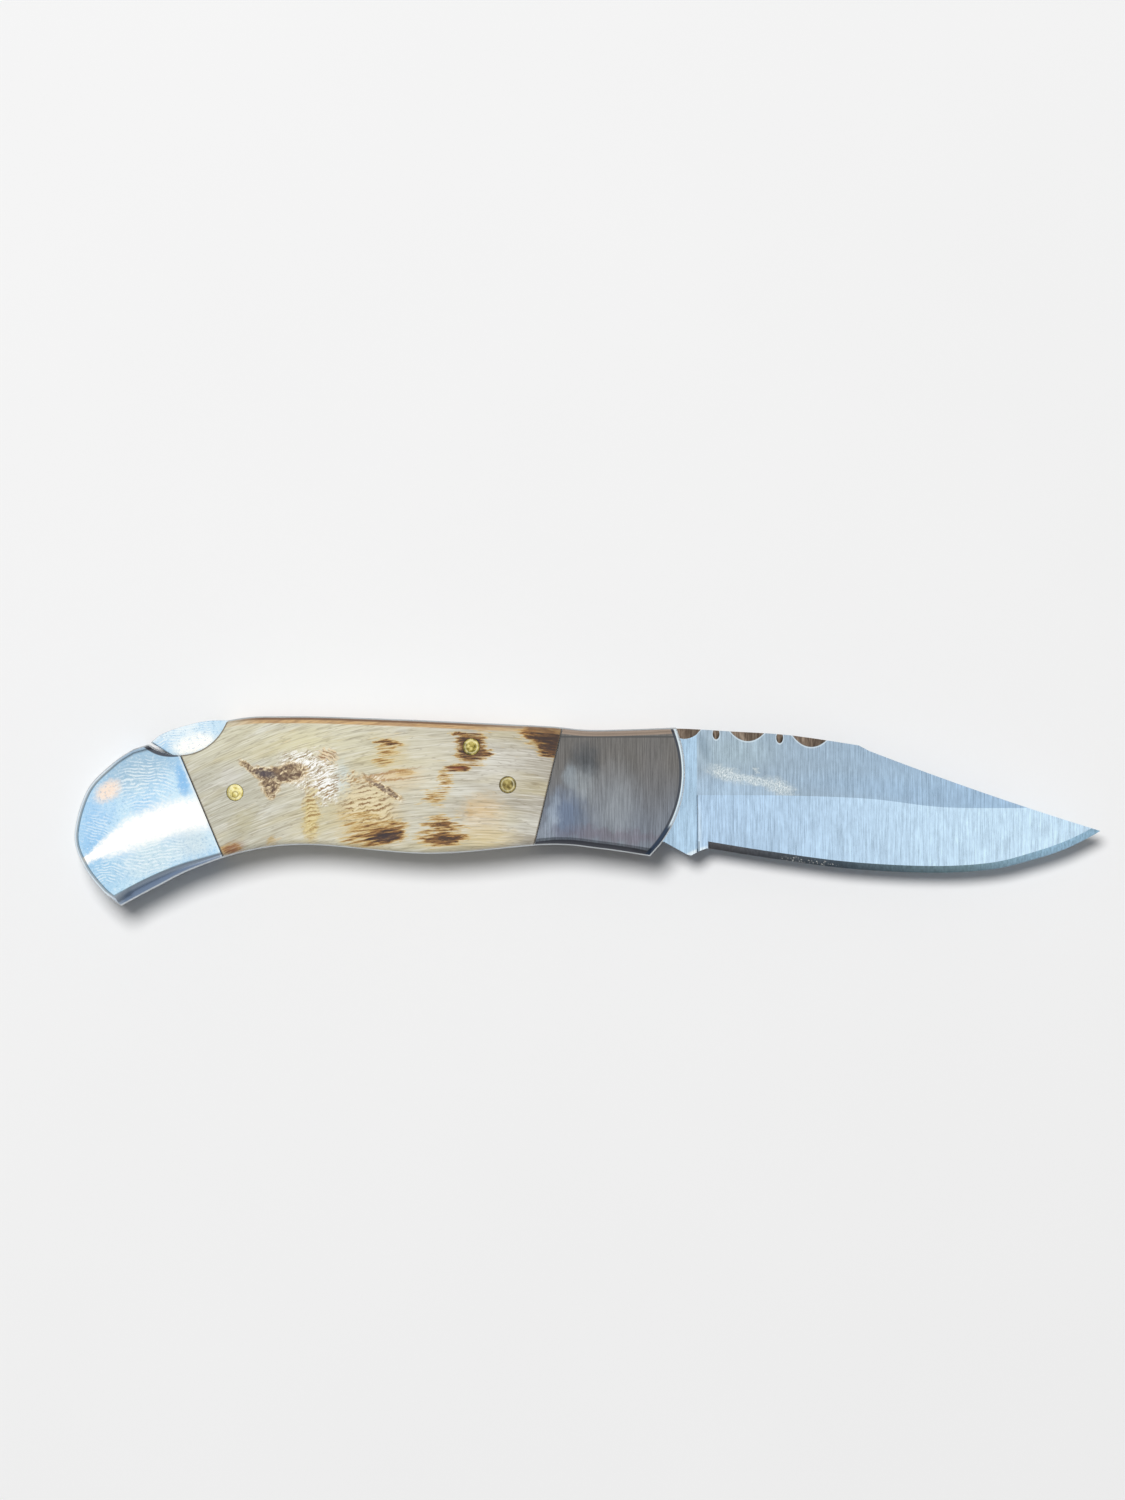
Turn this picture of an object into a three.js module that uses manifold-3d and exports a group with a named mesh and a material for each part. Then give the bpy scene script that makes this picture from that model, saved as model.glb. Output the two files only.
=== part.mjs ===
// Folding pocket knife with a back lock, open, lying flat on its side.
// Millimetres. X runs along the knife towards the tip, Y towards the spine and Z through its thickness.
// The origin is on the blade's pivot axis, in the plane that the knife lies on.

import * as THREE from 'three';
import { mergeVertices } from 'three/addons/utils/BufferGeometryUtils.js';
import Module from 'manifold-3d';

const wasm = await Module();
wasm.setup();

// Thickness of each layer
const SCALE_THICKNESS = 3.5;
const LINER_THICKNESS = 1;
const BLADE_THICKNESS = 2.5;
const SIDE_PLAY = 0.125;

// Handle outline
const PIVOT_TO_BUTT = 80;
const PIVOT_TO_FRONT = 9.2;
const FRONT_ARC_RADIUS = 17.2;
const FRONT_ARC_HEIGHT = 5.8;
const SPINE_HEIGHT = 12.35;
const SPINE_CROWN = 1.65;
const SPINE_DIP = 0.35;
const BELLY_DEPTH = 4.8;
const BELLY_SWELL = 1.3;
const FRONT_DEPTH = 6.45;
const BUTT_DROP = 13.7;
const EDGE_ROUND = 1.25;
const LINER_PROUD = 0.2;

// Joints between the scales and the bolsters, measured from the pivot and from the butt
const FRONT_BOLSTER_TOP = 8.7;
const FRONT_BOLSTER_BOTTOM = 12.8;
const REAR_BOLSTER_TOP = 13.9;
const REAR_BOLSTER_BOTTOM = 21.1;
const JOINT_GAP = 0.14;

// Thumb notch over the tail of the lock bar
const NOTCH_RADIUS = 7.5;
const NOTCH_FROM_BUTT = 15.3;
const NOTCH_ABOVE_SPINE = 3.45;

// Pins
const PIVOT_PIN_RADIUS = 1.6;
const SCALE_PIN_RADIUS = 1.2;
const BUTT_PIN_RADIUS = 1;
const PIN_FIT = 0.05;
const RUNNING_FIT = 0.08;
const BOLSTER_SKIN = 1;
const RIVET_SINK = 0.05;
const LOCK_PIN_BACK = 22;
const LOCK_PIN_BELOW_SPINE = 3.55;
const FRONT_RIVET_SETBACK = 6;
const FRONT_RIVET_HEIGHT = 4;
const REAR_RIVET_SETBACK = 5.7;
const REAR_RIVET_HEIGHT = 2.9;

// Blade
const BUTT_BLOCK = 9;
const TIP_CLEARANCE = 0.85;
const TIP_DROP = 2.8;
const EDGE_DEPTH = 8.9;
const HEEL_DEPTH = 5.3;
const BLADE_BACK = 12.2;
const SPINE_END = 34.6;
const SPINE_END_HEIGHT = 9.75;
const CLIP_FALL_LENGTH = 1.5;
const CLIP_FALL_DEPTH = 0.8;
const CLIP_HOLLOW = 0.35;
const KICK_X = 9.9;
const KICK_DEPTH = 6.35;
const PLUNGE_X = 10.9;
const PLUNGE_RADIUS = 1.5;
const FLAT_STEP = 0.14;
const GRIND_HEIGHT = 2.5;
const GRIND_TIP_HEIGHT = 0.6;
const EDGE_SHOULDER = 0.4;
const BEVEL_START = 12.6;
const BEVEL_WIDTH = 1;
const BEVEL_TIP_WIDTH = 1.15;

// Tang and lock
const TANG_RADIUS = 5.5;
const NOTCH_DEPTH = 1.2;
const HOOK_WIDTH = 2.4;
const HOOK_HEIGHT = 1.6;
const HOOK_CLEARANCE = 0.25;
const SHOULDER_GAP = 0.4;
const SHOULDER_X = 1.3;
const KICK_REST_GAP = 0.3;
const CLOSED_ANGLE = THREE.MathUtils.degToRad(177);
const LOCK_BAR_DEPTH = 5.6;
const TAIL_DEPTH = 4.6;
const TAIL_START = 22.5;
const TAIL_END = 11.1;
const TAIL_SLANT = 3.4;
const TAIL_GAP = 0.8;

// File cuts along the spine
const FILE_CUTS = 5;
const FILE_PITCH = 4.65;
const FILE_LAST_X = 27.7;
const FILE_TILT = THREE.MathUtils.degToRad(52);
const BROAD_CUT = { radius: 4.2, depth: 1.3 };
const NARROW_CUT = { radius: 0.5, depth: 1.3 };

// Leaf spring and its seat
const SPRING_ROOT = 1.8;
const SPRING_TIP = 1;
const SPRING_HEEL_LENGTH = 4.9;
const SPRING_HEEL_DEPTH = 3.4;
const SPRING_HEEL_BELOW_SPINE = 9.55;
const SPRING_REACH = 10;
const SPRING_GAP = 0.1;
const SEAT_FIT = 0.1;

// Mesh fineness
const PIN_SIDES = 24;
const NOTCH_SIDES = 64;
const ROUND_STEPS = 4;
const STRAIGHTNESS = 0.002;

// Heights of the layers
const SLOT = BLADE_THICKNESS + 2 * SIDE_PLAY;
const Z_SCALE_LOW = SCALE_THICKNESS;
const Z_SLOT_LOW = Z_SCALE_LOW + LINER_THICKNESS;
const Z_SLOT_HIGH = Z_SLOT_LOW + SLOT;
const Z_SCALE_HIGH = Z_SLOT_HIGH + LINER_THICKNESS;
const Z_TOP = Z_SCALE_HIGH + SCALE_THICKNESS;
const Z_MIDDLE = Z_TOP / 2;
const FAR = 200;

const material = (name, color, roughness, metalness) =>
  new THREE.MeshStandardMaterial({ name, color, roughness, metalness });

const bladeSteel = material('blade_steel', 0xb4c4d4, 0.32, 1);
const polishedSteel = material('polished_steel', 0xb9d2e6, 0.18, 1);
const brushedSteel = material('brushed_steel', 0x8e8b8c, 0.36, 1);
const linerSteel = material('liner_steel', 0xc4c8cc, 0.3, 1);
const springSteel = material('spring_steel', 0x7d8088, 0.4, 1);
const bone = material('bone', 0xd8cfb4, 0.38, 0);
const brass = material('brass', 0xc9a94c, 0.3, 1);

// A closed three.js geometry as a solid that can be joined and cut
function solidOf(geometry) {
  const bare = geometry.clone();
  bare.deleteAttribute('normal');
  bare.deleteAttribute('uv');
  const merged = mergeVertices(bare, 1e-5);
  return new wasm.Manifold(new wasm.Mesh({
    numProp: 3,
    vertProperties: new Float32Array(merged.attributes.position.array),
    triVerts: new Uint32Array(merged.index.array),
  }));
}

// A solid as a named mesh. Its geometry is measured from `axis`, where its group then stands.
function piece(name, solid, look, axis = new THREE.Vector3()) {
  const raw = solid.getMesh();
  const geometry = new THREE.BufferGeometry();
  geometry.setAttribute('position', new THREE.BufferAttribute(new Float32Array(raw.vertProperties), 3));
  geometry.setIndex(new THREE.BufferAttribute(new Uint32Array(raw.triVerts), 1));
  geometry.translate(-axis.x, -axis.y, -axis.z);
  geometry.computeVertexNormals();
  const mesh = new THREE.Mesh(geometry, look);
  mesh.name = name;
  return mesh;
}

// An outline without the points that lie on the straight line between their neighbours
function withoutStraights(points) {
  return points.filter((here, i) => {
    const before = points.at(i - 1);
    const after = points[(i + 1) % points.length];
    const chord = after.clone().sub(before);
    return Math.abs(chord.cross(here.clone().sub(before))) > STRAIGHTNESS * chord.length();
  });
}

// A flat outline raised from one height to another, with optional rounded edges and inset
function prism(points, low, high, round = 0, inset = 0) {
  const geometry = new THREE.ExtrudeGeometry(new THREE.Shape(withoutStraights(points)), {
    depth: high - low - 2 * round,
    bevelEnabled: round > 0 || inset > 0,
    bevelThickness: round,
    bevelSize: round,
    bevelOffset: -round - inset,
    bevelSegments: ROUND_STEPS,
  });
  geometry.translate(0, 0, low + round);
  return solidOf(geometry);
}

// A round bar along Z
function bar(centre, radius, low, high, sides = PIN_SIDES) {
  const geometry = new THREE.CylinderGeometry(radius, radius, high - low, sides);
  geometry.rotateX(Math.PI / 2);
  geometry.translate(centre.x, centre.y, (low + high) / 2);
  return solidOf(geometry);
}

const point = (x, y) => new THREE.Vector2(x, y);

// Height of a curve at one X, where X only grows or only falls along the curve
function heightAt(curve, x) {
  const rising = curve.getPoint(1).x > curve.getPoint(0).x;
  let low = 0;
  let high = 1;
  for (let step = 0; step < 40; step++) {
    const middle = (low + high) / 2;
    if ((curve.getPoint(middle).x < x) === rising) low = middle;
    else high = middle;
  }
  return curve.getPoint((low + high) / 2).y;
}

// Evenly spread points of a curve without its last one, so that curves can follow each other
const along = (curve, count) => curve.getSpacedPoints(count).slice(0, -1);

// A circle's arc as points, angles in radians
function arc(centre, radius, from, to, count) {
  return Array.from({ length: count + 1 }, (_, i) => {
    const angle = from + ((to - from) * i) / count;
    return point(centre.x + radius * Math.cos(angle), centre.y + radius * Math.sin(angle));
  });
}

// Where a circle stands at one height, on its +X side
const circleX = (centre, radius, y) => centre.x + Math.sqrt(radius ** 2 - (y - centre.y) ** 2);

const frontCentre = point(PIVOT_TO_FRONT - FRONT_ARC_RADIUS, FRONT_ARC_HEIGHT);
const frontBottom = point(circleX(frontCentre, FRONT_ARC_RADIUS, -FRONT_DEPTH), -FRONT_DEPTH);
const frontTop = point(circleX(frontCentre, FRONT_ARC_RADIUS, SPINE_HEIGHT), SPINE_HEIGHT);
const buttX = (fromButt) => fromButt - PIVOT_TO_BUTT;
const buttTip = point(buttX(6.8), -BUTT_DROP);
const buttShoulder = point(buttX(8.6), SPINE_HEIGHT - 3.15);

// Spine of the handle, from the front bolster's corner back to the shoulder of the butt
const spineLine = new THREE.SplineCurve([
  frontTop,
  point(-PIVOT_TO_BUTT * 0.05, SPINE_HEIGHT - SPINE_DIP),
  point(-PIVOT_TO_BUTT * 0.13, SPINE_HEIGHT + SPINE_CROWN * 0.1),
  point(-PIVOT_TO_BUTT * 0.24, SPINE_HEIGHT + SPINE_CROWN * 0.37),
  point(-PIVOT_TO_BUTT * 0.42, SPINE_HEIGHT + SPINE_CROWN * 0.76),
  point(-PIVOT_TO_BUTT * 0.6, SPINE_HEIGHT + SPINE_CROWN),
  point(buttX(TAIL_START), SPINE_HEIGHT + SPINE_CROWN * 0.64),
  buttShoulder,
]);

// Round end of the butt, from its shoulder down to its tip
const buttLine = new THREE.SplineCurve([
  buttShoulder,
  point(buttX(5.4), buttShoulder.y - 2.2),
  point(buttX(1.8), buttShoulder.y - 6.1),
  point(buttX(0), -BUTT_DROP * 0.24),
  point(buttX(1.3), -BUTT_DROP * 0.57),
  point(buttX(4.2), -BUTT_DROP * 0.85),
  buttTip,
]);

// Belly of the handle, from the tip of the butt to the front bolster's corner
const bellyLine = new THREE.SplineCurve([
  buttTip,
  point(buttX(11.9), -BUTT_DROP * 0.8),
  point(buttX(17.5), -BUTT_DROP * 0.6),
  point(buttX(25.3), -BELLY_DEPTH - BELLY_SWELL * 0.7),
  point(-PIVOT_TO_BUTT * 0.57, -BELLY_DEPTH),
  point(-PIVOT_TO_BUTT * 0.35, -BELLY_DEPTH - BELLY_SWELL),
  point(-PIVOT_TO_BUTT * 0.14, -BELLY_DEPTH),
  point(-PIVOT_TO_BUTT * 0.04, -BELLY_DEPTH - BELLY_SWELL * 0.45),
  frontBottom,
]);

const handleOutline = [
  ...arc(
    frontCentre,
    FRONT_ARC_RADIUS,
    frontBottom.clone().sub(frontCentre).angle() - 2 * Math.PI,
    frontTop.clone().sub(frontCentre).angle(),
    12,
  ).slice(0, -1),
  ...along(spineLine, 26),
  ...along(buttLine, 14),
  ...along(bellyLine, 26),
];

// A sloping joint across the handle, as the X at any height
const joint = (topX, bottomX) => {
  const bottomY = -BELLY_DEPTH;
  return (y) => bottomX + ((topX - bottomX) * (y - bottomY)) / (SPINE_HEIGHT - bottomY);
};
const frontJoint = joint(-FRONT_BOLSTER_TOP, -FRONT_BOLSTER_BOTTOM);
const rearJoint = joint(buttX(REAR_BOLSTER_TOP), buttX(REAR_BOLSTER_BOTTOM));

// All that lies between two limits in X, each a number or a joint
function between(lowX, highX) {
  const reach = 2 * (BUTT_DROP + SPINE_HEIGHT);
  const at = (limit, y) => (typeof limit === 'number' ? limit : limit(y));
  return prism(
    [
      point(at(lowX, -reach), -reach),
      point(at(highX, -reach), -reach),
      point(at(highX, reach), reach),
      point(at(lowX, reach), reach),
    ],
    -Z_TOP,
    2 * Z_TOP,
  );
}

const lockPin = point(-LOCK_PIN_BACK, heightAt(spineLine, -LOCK_PIN_BACK) - LOCK_PIN_BELOW_SPINE);
const frontRivet = point(frontJoint(FRONT_RIVET_HEIGHT) - FRONT_RIVET_SETBACK, FRONT_RIVET_HEIGHT);
const rearRivet = point(rearJoint(REAR_RIVET_HEIGHT) + REAR_RIVET_SETBACK, REAR_RIVET_HEIGHT);
const pivot = point(0, 0);
const heelHeight = SPINE_HEIGHT - SPRING_HEEL_BELOW_SPINE;
const upperButtPin = point(buttX(BUTT_BLOCK * 0.67), heelHeight);
const lowerButtPin = point(buttX(BUTT_BLOCK * 0.58), -BUTT_DROP * 0.58);
const notchCentre = point(buttX(NOTCH_FROM_BUTT), SPINE_HEIGHT + NOTCH_ABOVE_SPINE);

const hole = (centre, radius, fit = PIN_FIT) => bar(centre, radius + fit, -1, Z_TOP + 1);
const thumbNotch = bar(notchCentre, NOTCH_RADIUS, -1, Z_TOP + 1, NOTCH_SIDES);

// The outer layer of one side: all of the handle outside its liner, with rounded outer edges
const handleBody = prism(handleOutline, 0, Z_TOP, EDGE_ROUND, LINER_PROUD).subtract(thumbNotch);

const sides = {
  top: {
    skin: [Z_SCALE_HIGH, Z_TOP],
    liner: [Z_SLOT_HIGH, Z_SCALE_HIGH],
    rivet: [Z_SLOT_HIGH + RIVET_SINK, Z_TOP],
  },
  bottom: {
    skin: [0, Z_SCALE_LOW],
    liner: [Z_SCALE_LOW, Z_SLOT_LOW],
    rivet: [0, Z_SLOT_LOW - RIVET_SINK],
  },
};

function slab([low, high]) {
  const corners = [point(-FAR, -FAR), point(FAR, -FAR), point(FAR, FAR), point(-FAR, FAR)];
  return prism(corners, low, high);
}

// A bolster keeps a skin of metal over the heads of the pins, which were ground flush and polished over
const blindPin = (centre, radius) => bar(centre, radius, BOLSTER_SKIN, Z_TOP - BOLSTER_SKIN);
const blindHole = (centre, radius) =>
  bar(centre, radius + PIN_FIT, BOLSTER_SKIN - PIN_FIT, Z_TOP - BOLSTER_SKIN + PIN_FIT);

function frontBolster(side) {
  const edge = (y) => frontJoint(y) + JOINT_GAP / 2;
  return handleBody
    .intersect(slab(side.skin))
    .intersect(between(edge, FAR))
    .subtract(blindHole(pivot, PIVOT_PIN_RADIUS));
}

function rearBolster(side) {
  const edge = (y) => rearJoint(y) - JOINT_GAP / 2;
  return handleBody
    .intersect(slab(side.skin))
    .intersect(between(-FAR, edge))
    .subtract(blindHole(upperButtPin, BUTT_PIN_RADIUS))
    .subtract(blindHole(lowerButtPin, BUTT_PIN_RADIUS));
}

function scale(side) {
  const rearEdge = (y) => rearJoint(y) + JOINT_GAP / 2;
  const frontEdge = (y) => frontJoint(y) - JOINT_GAP / 2;
  return handleBody
    .intersect(slab(side.skin))
    .intersect(between(rearEdge, frontEdge))
    .subtract(hole(lockPin, SCALE_PIN_RADIUS))
    .subtract(hole(frontRivet, SCALE_PIN_RADIUS))
    .subtract(hole(rearRivet, SCALE_PIN_RADIUS));
}

function liner(side) {
  return prism(handleOutline, ...side.liner)
    .subtract(thumbNotch)
    .subtract(hole(pivot, PIVOT_PIN_RADIUS))
    .subtract(hole(lockPin, SCALE_PIN_RADIUS))
    .subtract(hole(frontRivet, SCALE_PIN_RADIUS))
    .subtract(hole(rearRivet, SCALE_PIN_RADIUS))
    .subtract(hole(upperButtPin, BUTT_PIN_RADIUS))
    .subtract(hole(lowerButtPin, BUTT_PIN_RADIUS));
}

// Blade curves. The tip's reach leaves room for the block at the butt when the blade is closed.
const tipReach = PIVOT_TO_BUTT - BUTT_BLOCK - TIP_CLEARANCE;
const tip = point(Math.sqrt(tipReach ** 2 - TIP_DROP ** 2), -TIP_DROP);
const bladeX = (share) => BEVEL_START + (tip.x - BEVEL_START) * share;
const OVERRUN = 2;

const edgeLine = new THREE.SplineCurve([
  point(BEVEL_START, -HEEL_DEPTH),
  point(bladeX(0.155), -HEEL_DEPTH - (EDGE_DEPTH - HEEL_DEPTH) * 0.4),
  point(bladeX(0.36), -HEEL_DEPTH - (EDGE_DEPTH - HEEL_DEPTH) * 0.83),
  point(bladeX(0.57), -EDGE_DEPTH),
  point(bladeX(0.72), -EDGE_DEPTH * 0.945),
  point(bladeX(0.825), -EDGE_DEPTH * 0.787),
  point(bladeX(0.912), -EDGE_DEPTH * 0.6),
  tip,
  point(tip.x + OVERRUN, tip.y + OVERRUN * 0.6),
]);

const backLine = new THREE.SplineCurve([
  point(SHOULDER_X, BLADE_BACK - 0.1),
  point(PIVOT_TO_FRONT - 1, BLADE_BACK),
  point(SPINE_END * 0.45, BLADE_BACK - (BLADE_BACK - SPINE_END_HEIGHT) * 0.16),
  point(SPINE_END * 0.71, BLADE_BACK - (BLADE_BACK - SPINE_END_HEIGHT) * 0.4),
  point(SPINE_END, SPINE_END_HEIGHT),
]);

// The clip: a short fall from the end of the spine, then a little hollow all the way to the tip
const clipStart = point(SPINE_END + CLIP_FALL_LENGTH, SPINE_END_HEIGHT - CLIP_FALL_DEPTH);
const clipLine = new THREE.QuadraticBezierCurve(
  tip,
  point((tip.x + clipStart.x) / 2, (tip.y + clipStart.y) / 2 - 2 * CLIP_HOLLOW),
  clipStart,
);

const grindLine = new THREE.SplineCurve([
  point(PLUNGE_X - 1, GRIND_HEIGHT),
  point(bladeX(0.2), GRIND_HEIGHT - 0.1),
  point(bladeX(0.41), GRIND_HEIGHT - (GRIND_HEIGHT - GRIND_TIP_HEIGHT) * 0.3),
  point(bladeX(0.6), GRIND_TIP_HEIGHT + 0.1),
  point(bladeX(0.82), GRIND_TIP_HEIGHT),
  point(tip.x + 2 * OVERRUN, GRIND_TIP_HEIGHT),
]);

const HALF = BLADE_THICKNESS / 2;
const FLAT_HALF = HALF - FLAT_STEP;

// Height of the top of the edge bevel, which widens towards the tip
function bevelTop(x) {
  const share = THREE.MathUtils.smoothstep(x, bladeX(0.7), bladeX(0.92));
  return heightAt(edgeLine, x) + THREE.MathUtils.lerp(BEVEL_WIDTH, BEVEL_TIP_WIDTH, share);
}

// A solid through a row of sections of [y, z], each fanned from its first point. side mirrors it in Z.
function loft(stations, side) {
  const count = stations[0].section.length;
  const positions = stations.flatMap(({ x, section }) => section.flatMap(([y, z]) => [x, y, side * z]));
  const faces = [];
  for (let s = 0; s < stations.length - 1; s++) {
    for (let i = 0; i < count; i++) {
      const a = s * count + i;
      const b = s * count + ((i + 1) % count);
      faces.push([a, a + count, b], [b, a + count, b + count]);
    }
  }
  const last = (stations.length - 1) * count;
  for (let i = 1; i < count - 1; i++) {
    faces.push([0, i, i + 1], [last, last + i + 1, last + i]);
  }
  const turned = side > 0 ? faces : faces.map(([a, b, c]) => [a, c, b]);
  const geometry = new THREE.BufferGeometry();
  geometry.setAttribute('position', new THREE.Float32BufferAttribute(positions, 3));
  geometry.setIndex(turned.flat());
  return solidOf(geometry);
}

const spread = (from, to, count) => Array.from({ length: count + 1 }, (_, i) => from + ((to - from) * i) / count);
const edgeStations = spread(BEVEL_START, tip.x + OVERRUN * 0.8, 24);

// What the grinding wheel takes from one side: a thin step on the flat and the taper to the edge
function mainGrind(side) {
  const outside = 2 * BLADE_THICKNESS;
  const high = 2 * BLADE_BACK;
  const plunge = spread(0, 1, 5).map((t) => PLUNGE_X + PLUNGE_RADIUS * t);
  const stations = [...plunge, ...edgeStations].map((x) => {
    const into = Math.min(1, (x - PLUNGE_X) / PLUNGE_RADIUS);
    const cut = Math.sqrt(1 - (1 - into) ** 2);
    const grind = heightAt(grindLine, x);
    const bevel = bevelTop(x);
    const low = bevel - 3 * BEVEL_WIDTH;
    const slope = (FLAT_HALF - EDGE_SHOULDER) / (grind - bevel);
    const underBevel = Math.min(slope, (0.9 * EDGE_SHOULDER) / BEVEL_TIP_WIDTH);
    const reached = (full) => THREE.MathUtils.lerp(HALF + 0.02, full, cut);
    const section = [
      [high, outside],
      [high, reached(FLAT_HALF)],
      [grind, reached(FLAT_HALF)],
      [bevel, reached(EDGE_SHOULDER)],
      [low, reached(EDGE_SHOULDER - underBevel * (bevel - low))],
      [low, outside],
    ];
    return { x, section };
  });
  return loft(stations, side);
}

// What the edge bevel takes from one side, down to a sharp edge in the middle plane
function edgeBevel(side) {
  const outside = 2 * BLADE_THICKNESS;
  const stations = edgeStations.map((x) => {
    const edge = heightAt(edgeLine, x);
    const shoulder = bevelTop(x);
    const width = shoulder - edge;
    const section = [
      [shoulder + width, outside],
      [shoulder + width, 2 * EDGE_SHOULDER],
      [shoulder, EDGE_SHOULDER],
      [edge, 0],
      [edge - width, -EDGE_SHOULDER],
      [edge - width, outside],
    ];
    return { x, section };
  });
  return loft(stations, side);
}

// One slanting file cut across a corner of the spine
function fileCut(x, { radius, depth }, side) {
  const length = 6 * BLADE_THICKNESS;
  const y = heightAt(backLine, x) - depth + radius / Math.cos(FILE_TILT);
  const geometry = new THREE.CylinderGeometry(radius, radius, length, PIN_SIDES);
  geometry.rotateX(Math.PI / 2);
  geometry.rotateX(side * FILE_TILT);
  geometry.translate(x, y, side * FLAT_HALF);
  return solidOf(geometry);
}

// Side view of the blade and tang. Below the edge it runs on a little, and the bevels end it there.
function bladeOutline() {
  const notchFloor = TANG_RADIUS - NOTCH_DEPTH;
  const lugX = SHOULDER_X - SHOULDER_GAP - HOOK_WIDTH - SHOULDER_GAP;
  const lugAngle = Math.PI - Math.acos(-lugX / TANG_RADIUS);
  const tangEnd = 2 * Math.PI - THREE.MathUtils.degToRad(55);
  const surplus = 0.4;
  return [
    point(SHOULDER_X, notchFloor),
    point(lugX, notchFloor),
    ...arc(pivot, TANG_RADIUS, lugAngle, tangEnd, 26),
    point(KICK_X * 0.62, -TANG_RADIUS * 0.79),
    point(KICK_X - 0.35, -KICK_DEPTH + 0.12),
    point(KICK_X + 0.2, -KICK_DEPTH),
    point(KICK_X + 0.75, -KICK_DEPTH + 0.3),
    point(PLUNGE_X + 0.6, -HEEL_DEPTH - 0.35),
    point(BEVEL_START - 0.15, -HEEL_DEPTH),
    ...spread(BEVEL_START + 0.5, tip.x, 16).map((x) => point(x, heightAt(edgeLine, x) - surplus)),
    ...along(clipLine, 8),
    clipStart,
    point(SPINE_END, SPINE_END_HEIGHT),
    ...along(backLine, 14).reverse(),
  ];
}

function blade() {
  let solid = prism(bladeOutline(), -HALF, HALF);
  for (const side of [1, -1]) {
    solid = solid.subtract(mainGrind(side)).subtract(edgeBevel(side));
    for (let i = 0; i < FILE_CUTS; i++) {
      const shape = i % 2 === 0 ? BROAD_CUT : NARROW_CUT;
      solid = solid.subtract(fileCut(FILE_LAST_X - i * FILE_PITCH, shape, side));
    }
  }
  return solid
    .subtract(bar(pivot, PIVOT_PIN_RADIUS + RUNNING_FIT, -Z_TOP, Z_TOP))
    .translate([0, 0, Z_MIDDLE]);
}

// Underside of the lock bar's rear arm, which stays above the edge of the closed blade when pressed
const armLine = new THREE.SplineCurve([
  point(-LOCK_PIN_BACK + 3, lockPin.y - 2.1),
  point(-LOCK_PIN_BACK - 8, heightAt(spineLine, -LOCK_PIN_BACK - 8) - LOCK_BAR_DEPTH),
  point(-PIVOT_TO_BUTT * 0.54, heightAt(spineLine, -PIVOT_TO_BUTT * 0.54) - LOCK_BAR_DEPTH + 0.2),
  point(buttX(26), heightAt(spineLine, buttX(26)) - LOCK_BAR_DEPTH + 0.3),
  point(notchCentre.x, SPINE_HEIGHT - TAIL_DEPTH + 0.3),
]);

// Top of the tail, which a thumb presses in the notch
const tailX = (share) => buttX(TAIL_START + (TAIL_END - TAIL_START) * share);
const tailTop = new THREE.SplineCurve([
  point(tailX(0), heightAt(spineLine, tailX(0))),
  point(tailX(0.29), SPINE_HEIGHT + SPINE_CROWN * 0.58),
  point(tailX(0.6), SPINE_HEIGHT + SPINE_CROWN * 0.09),
  point(tailX(0.86), SPINE_HEIGHT - SPINE_CROWN * 0.58),
  point(tailX(1), SPINE_HEIGHT - SPINE_CROWN * 1.33),
]);

function lockBar() {
  const face = SHOULDER_X - SHOULDER_GAP;
  const hookFoot = TANG_RADIUS + HOOK_CLEARANCE;
  const closedKick = KICK_DEPTH - KICK_X * Math.sin(Math.PI - CLOSED_ANGLE);
  const padY = closedKick + KICK_REST_GAP;
  const top = spread(face, tailX(0), 20).map((x) => point(x, heightAt(spineLine, x)));
  const outline = [
    ...top.slice(0, -1),
    ...tailTop.getSpacedPoints(8),
    point(buttX(TAIL_END + TAIL_SLANT), SPINE_HEIGHT - TAIL_DEPTH + 0.4),
    ...along(armLine, 12).reverse(),
    point(-KICK_X - 3.5, padY),
    point(-KICK_X + 2, padY),
    point(face - HOOK_WIDTH - 3.5, hookFoot + HOOK_HEIGHT),
    point(face - HOOK_WIDTH, hookFoot + HOOK_HEIGHT),
    point(face - HOOK_WIDTH, hookFoot),
    point(face, hookFoot),
  ];
  return prism(outline, Z_MIDDLE - HALF, Z_MIDDLE + HALF)
    .subtract(bar(lockPin, SCALE_PIN_RADIUS + RUNNING_FIT, -1, Z_TOP + 1));
}

// Block at the butt, cut to the circle that the tip sweeps and slotted for the heel of the spring
function buttSpacer() {
  const sweep = tipReach + TIP_CLEARANCE;
  const reach = 2 * BUTT_DROP;
  const heelTop = heelHeight + SPRING_HEEL_DEPTH / 2 + SEAT_FIT;
  const heelBottom = heelHeight - SPRING_HEEL_DEPTH / 2 - SEAT_FIT;
  const hornX = buttX(TAIL_END) - TAIL_GAP;
  const heelEnd = buttX(BUTT_BLOCK - SPRING_HEEL_LENGTH) - SEAT_FIT;
  const sweepAngle = (y) => Math.PI - Math.asin(y / sweep);
  const region = [
    point(-FAR, -reach),
    ...arc(pivot, sweep, sweepAngle(-reach), sweepAngle(heelBottom), 16),
    point(heelEnd, heelBottom),
    point(heelEnd, heelTop),
    point(hornX, heelTop),
    point(hornX, reach),
    point(-FAR, reach),
  ];
  return prism(handleOutline, Z_MIDDLE - HALF, Z_MIDDLE + HALF)
    .intersect(prism(region, 0, Z_TOP))
    .subtract(hole(upperButtPin, BUTT_PIN_RADIUS))
    .subtract(hole(lowerButtPin, BUTT_PIN_RADIUS));
}

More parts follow.
